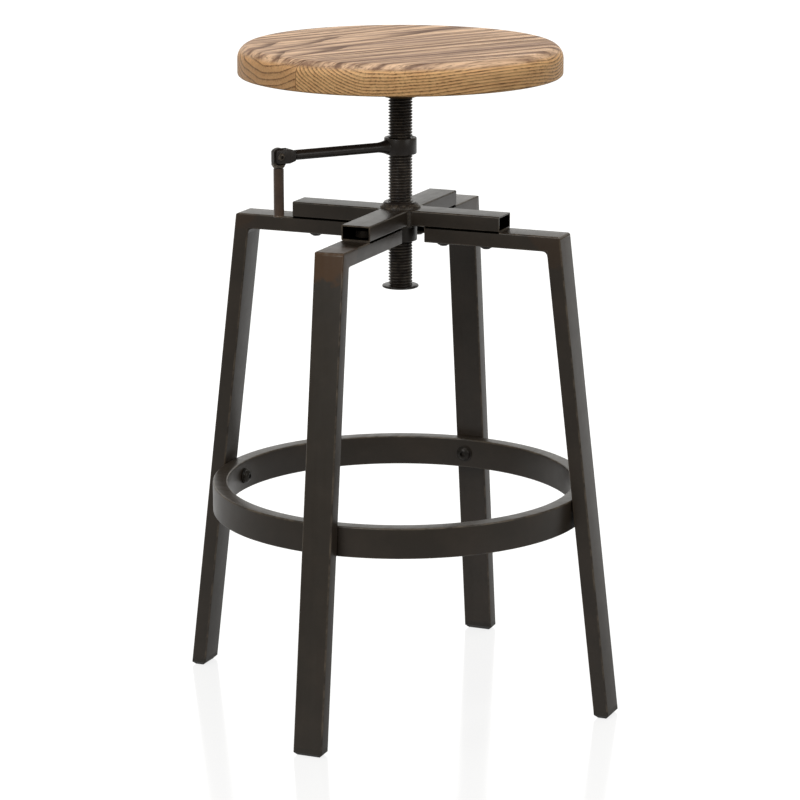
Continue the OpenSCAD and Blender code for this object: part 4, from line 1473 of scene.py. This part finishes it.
@dataclass
class Studio:
    """The pale floor, the soft lights and the camera."""

    eye: tuple[float, float, float] = (1.27145, -3.01126, 1.08866)
    down_deg: float = 13.499
    heading_deg: float = 22.898
    focal_px: float = 3334.0
    sensor_mm: float = 36.0
    image_px: float = 800.0
    floor_size: float = 40.0
    lamps: tuple[Lamp, ...] = (
        Lamp("key_front", (-0.5, -2.9, 2.3), (1.6, 1.6), 36),
        Lamp("fill_right", (2.8, -0.6, 1.6), (1.6, 1.6), 14),
        Lamp("top", (0.0, 0.3, 2.6), (1.6, 1.6), 30),
        Lamp("wall_behind", (-1.25, 2.95, 1.25), (4.2, 1.7), 20),
    )

    def camera(self) -> None:
        """Places the camera at the photograph's viewpoint."""
        data = bpy.data.cameras.new("camera")
        data.sensor_width = self.sensor_mm
        data.lens = self.focal_px * self.sensor_mm / self.image_px
        data.clip_end = 100
        camera = bpy.data.objects.new("camera", data)
        camera.location = self.eye
        camera.rotation_euler = (math.radians(90 - self.down_deg), 0, math.radians(self.heading_deg))
        bpy.context.collection.objects.link(camera)
        bpy.context.scene.camera = camera

    def floor(self) -> None:
        """Lays a white floor that glows for the camera, and mirrors the stool faintly.

        In reflections it is bright behind the stool and dim in front, like a studio lit from the back.
        """
        material, tree, output = new_material("white_acrylic_floor")
        path = add_node(tree, "LightPath")
        place = add_node(tree, "TexCoord").outputs["Object"]
        heading = math.radians(self.heading_deg)
        back = (-math.sin(heading), math.cos(heading), 0)
        away = add_node(tree, "VectorMath", {"operation": "DOT_PRODUCT", 1: back}, {0: place})
        span = add_node(tree, "MapRange", {1: -2.3, 2: 1.3}, {0: away.outputs["Value"]})
        mirrored = add_node(tree, "ValToRGB", links={"Fac": span},
                            stops=((0.0, 0.03), (0.42, 0.22), (0.69, 0.36), (0.89, 0.66), (1.0, 0.8)))
        reach = add_node(tree, "VectorMath", {"operation": "LENGTH"}, {0: place})
        shown = add_node(tree, "MapRange", {1: 0.9, 2: 1.8, 3: 0.83, 4: 1.0}, {0: reach.outputs["Value"]})
        by_eye = add_node(tree, "Math", {"operation": "MAXIMUM"},
                          {0: path.outputs["Is Camera Ray"], 1: path.outputs["Is Transmission Ray"]})
        part_eye = add_node(tree, "Math", {"operation": "MULTIPLY"}, {0: by_eye, 1: shown})
        glow = add_node(tree, "Math", {"operation": "MULTIPLY_ADD"},
                        {0: path.outputs["Is Glossy Ray"], 1: mirrored, 2: part_eye})
        light = add_node(tree, "Emission", {"Color": (1, 1, 1, 1)}, {"Strength": glow})
        matt = add_node(tree, "BsdfDiffuse", {"Color": (0.15, 0.15, 0.15, 1)})
        shine = add_node(tree, "BsdfGlossy", {"Roughness": 0.12, "Color": (1, 1, 1, 1)})
        fresnel = add_node(tree, "Fresnel", {"IOR": 1.45})
        part = add_node(tree, "Math", {"operation": "MULTIPLY", 1: 0.8}, {0: fresnel})
        both = add_node(tree, "MixShader", links={0: part, 1: matt, 2: shine})
        total = add_node(tree, "AddShader", links={0: both, 1: light})
        tree.links.new(total.outputs[0], output.inputs[0])
        bm = bmesh.new()
        bmesh.ops.create_grid(bm, x_segments=1, y_segments=1, size=self.floor_size / 2)
        mesh = bpy.data.meshes.new("floor")
        bm.to_mesh(mesh)
        bm.free()
        mesh.materials.append(material)
        floor = bpy.data.objects.new("floor", mesh)
        bpy.context.collection.objects.link(floor)

    def light(self) -> None:
        """Lights the stool with a dim pale room, a bright wall behind, and soft lamps in front and above."""
        world = bpy.data.worlds.new("studio")
        bpy.context.scene.world = world
        world.use_nodes = True
        tree = world.node_tree
        tree.nodes.clear()
        output = add_node(tree, "OutputWorld")
        path = add_node(tree, "LightPath")
        seen = add_node(tree, "Math", {"operation": "MAXIMUM"},
                        {0: path.outputs["Is Camera Ray"], 1: path.outputs["Is Transmission Ray"]})
        room = add_node(tree, "Background", {"Color": (1.0, 0.975, 0.86, 1), "Strength": 0.3})
        white = add_node(tree, "Background", {"Color": (1, 1, 1, 1), "Strength": 1.0})
        both = add_node(tree, "MixShader", links={0: seen, 1: room, 2: white})
        tree.links.new(both.outputs[0], output.inputs[0])
        for lamp in self.lamps:
            lamp.hang()
        bpy.context.scene.view_settings.view_transform = "Standard"


def main() -> None:
    """Builds the stool's pieces in order, then the studio."""
    logging.basicConfig(level=logging.INFO, format="%(name)s %(message)s")
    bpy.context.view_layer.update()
    studio = Studio()
    studio.camera()
    paint = LacqueredSteel(heat=0.85, marks=0.2).material()
    # The weld metal's pale colour paints highlights on the beads' ripples, as well as rubbing
    bead = LacqueredSteel("lacquered_weld_metal", base="2C2621", rubbed_and_highlight="7A6C5C", roughness=0.38, rub_mm=2.4,
                          wear_and_highlight=0.9).material()
    # The dark steel's pale colour paints highlights on the thread's crests and the hub's edges, as well as rubbing
    steel = LacqueredSteel("oiled_black_steel", base="28221F", cloud="322B27", rubbed_and_highlight="5F574E", roughness=0.33,
                           cloud_mm=18, rub_mm=7, wear_and_highlight=0.9).material()
    handle = LacqueredSteel("browned_grip_steel", base="4A3B33", cloud="5A483C", rubbed_and_highlight="7C6B58", roughness=0.3,
                            cloud_mm=20, rub_mm=7).material()
    fastener = LacqueredSteel("blackened_bolt_steel", base="25211E", cloud="39322B", rubbed_and_highlight="5A4A36",
                              roughness=0.34, metallic=0.4, cloud_mm=9, rub_mm=5, wear_and_highlight=0.5).material()
    bronze = LacqueredSteel("sintered_bronze", base="4C3D2B", cloud="594832", rubbed_and_highlight="8A7049", roughness=0.5,
                            metallic=1.0, cloud_mm=10, rub_mm=4).material()
    # The screw steel's pale colour paints the highlights on the pivot's head and the neck, as well as rubbing
    screw = LacqueredSteel("rub_and_highlight_screw_steel", base="322C27", cloud="3D362F", rubbed_and_highlight="82786B", roughness=0.36,
                           metallic=0.4, cloud_mm=5, rub_mm=5, wear_and_highlight=0.9).material()
    plastic = MouldedPlastic().material()
    Base().build(paint, steel, bead)
    Footrest().build(paint, fastener)
    Column().build(steel)
    Crank().build(steel, handle, screw)
    Fasteners().build(fastener)
    Seat().build()
    kept = CarriedOver()
    for nodes, material in ((kept.fasteners, fastener), (kept.painted, paint), (kept.bronze, bronze),
                            (kept.plastic, plastic)):
        kept.dress(nodes, material)
    studio.floor()
    studio.light()


if __name__ == "__main__":
    main()
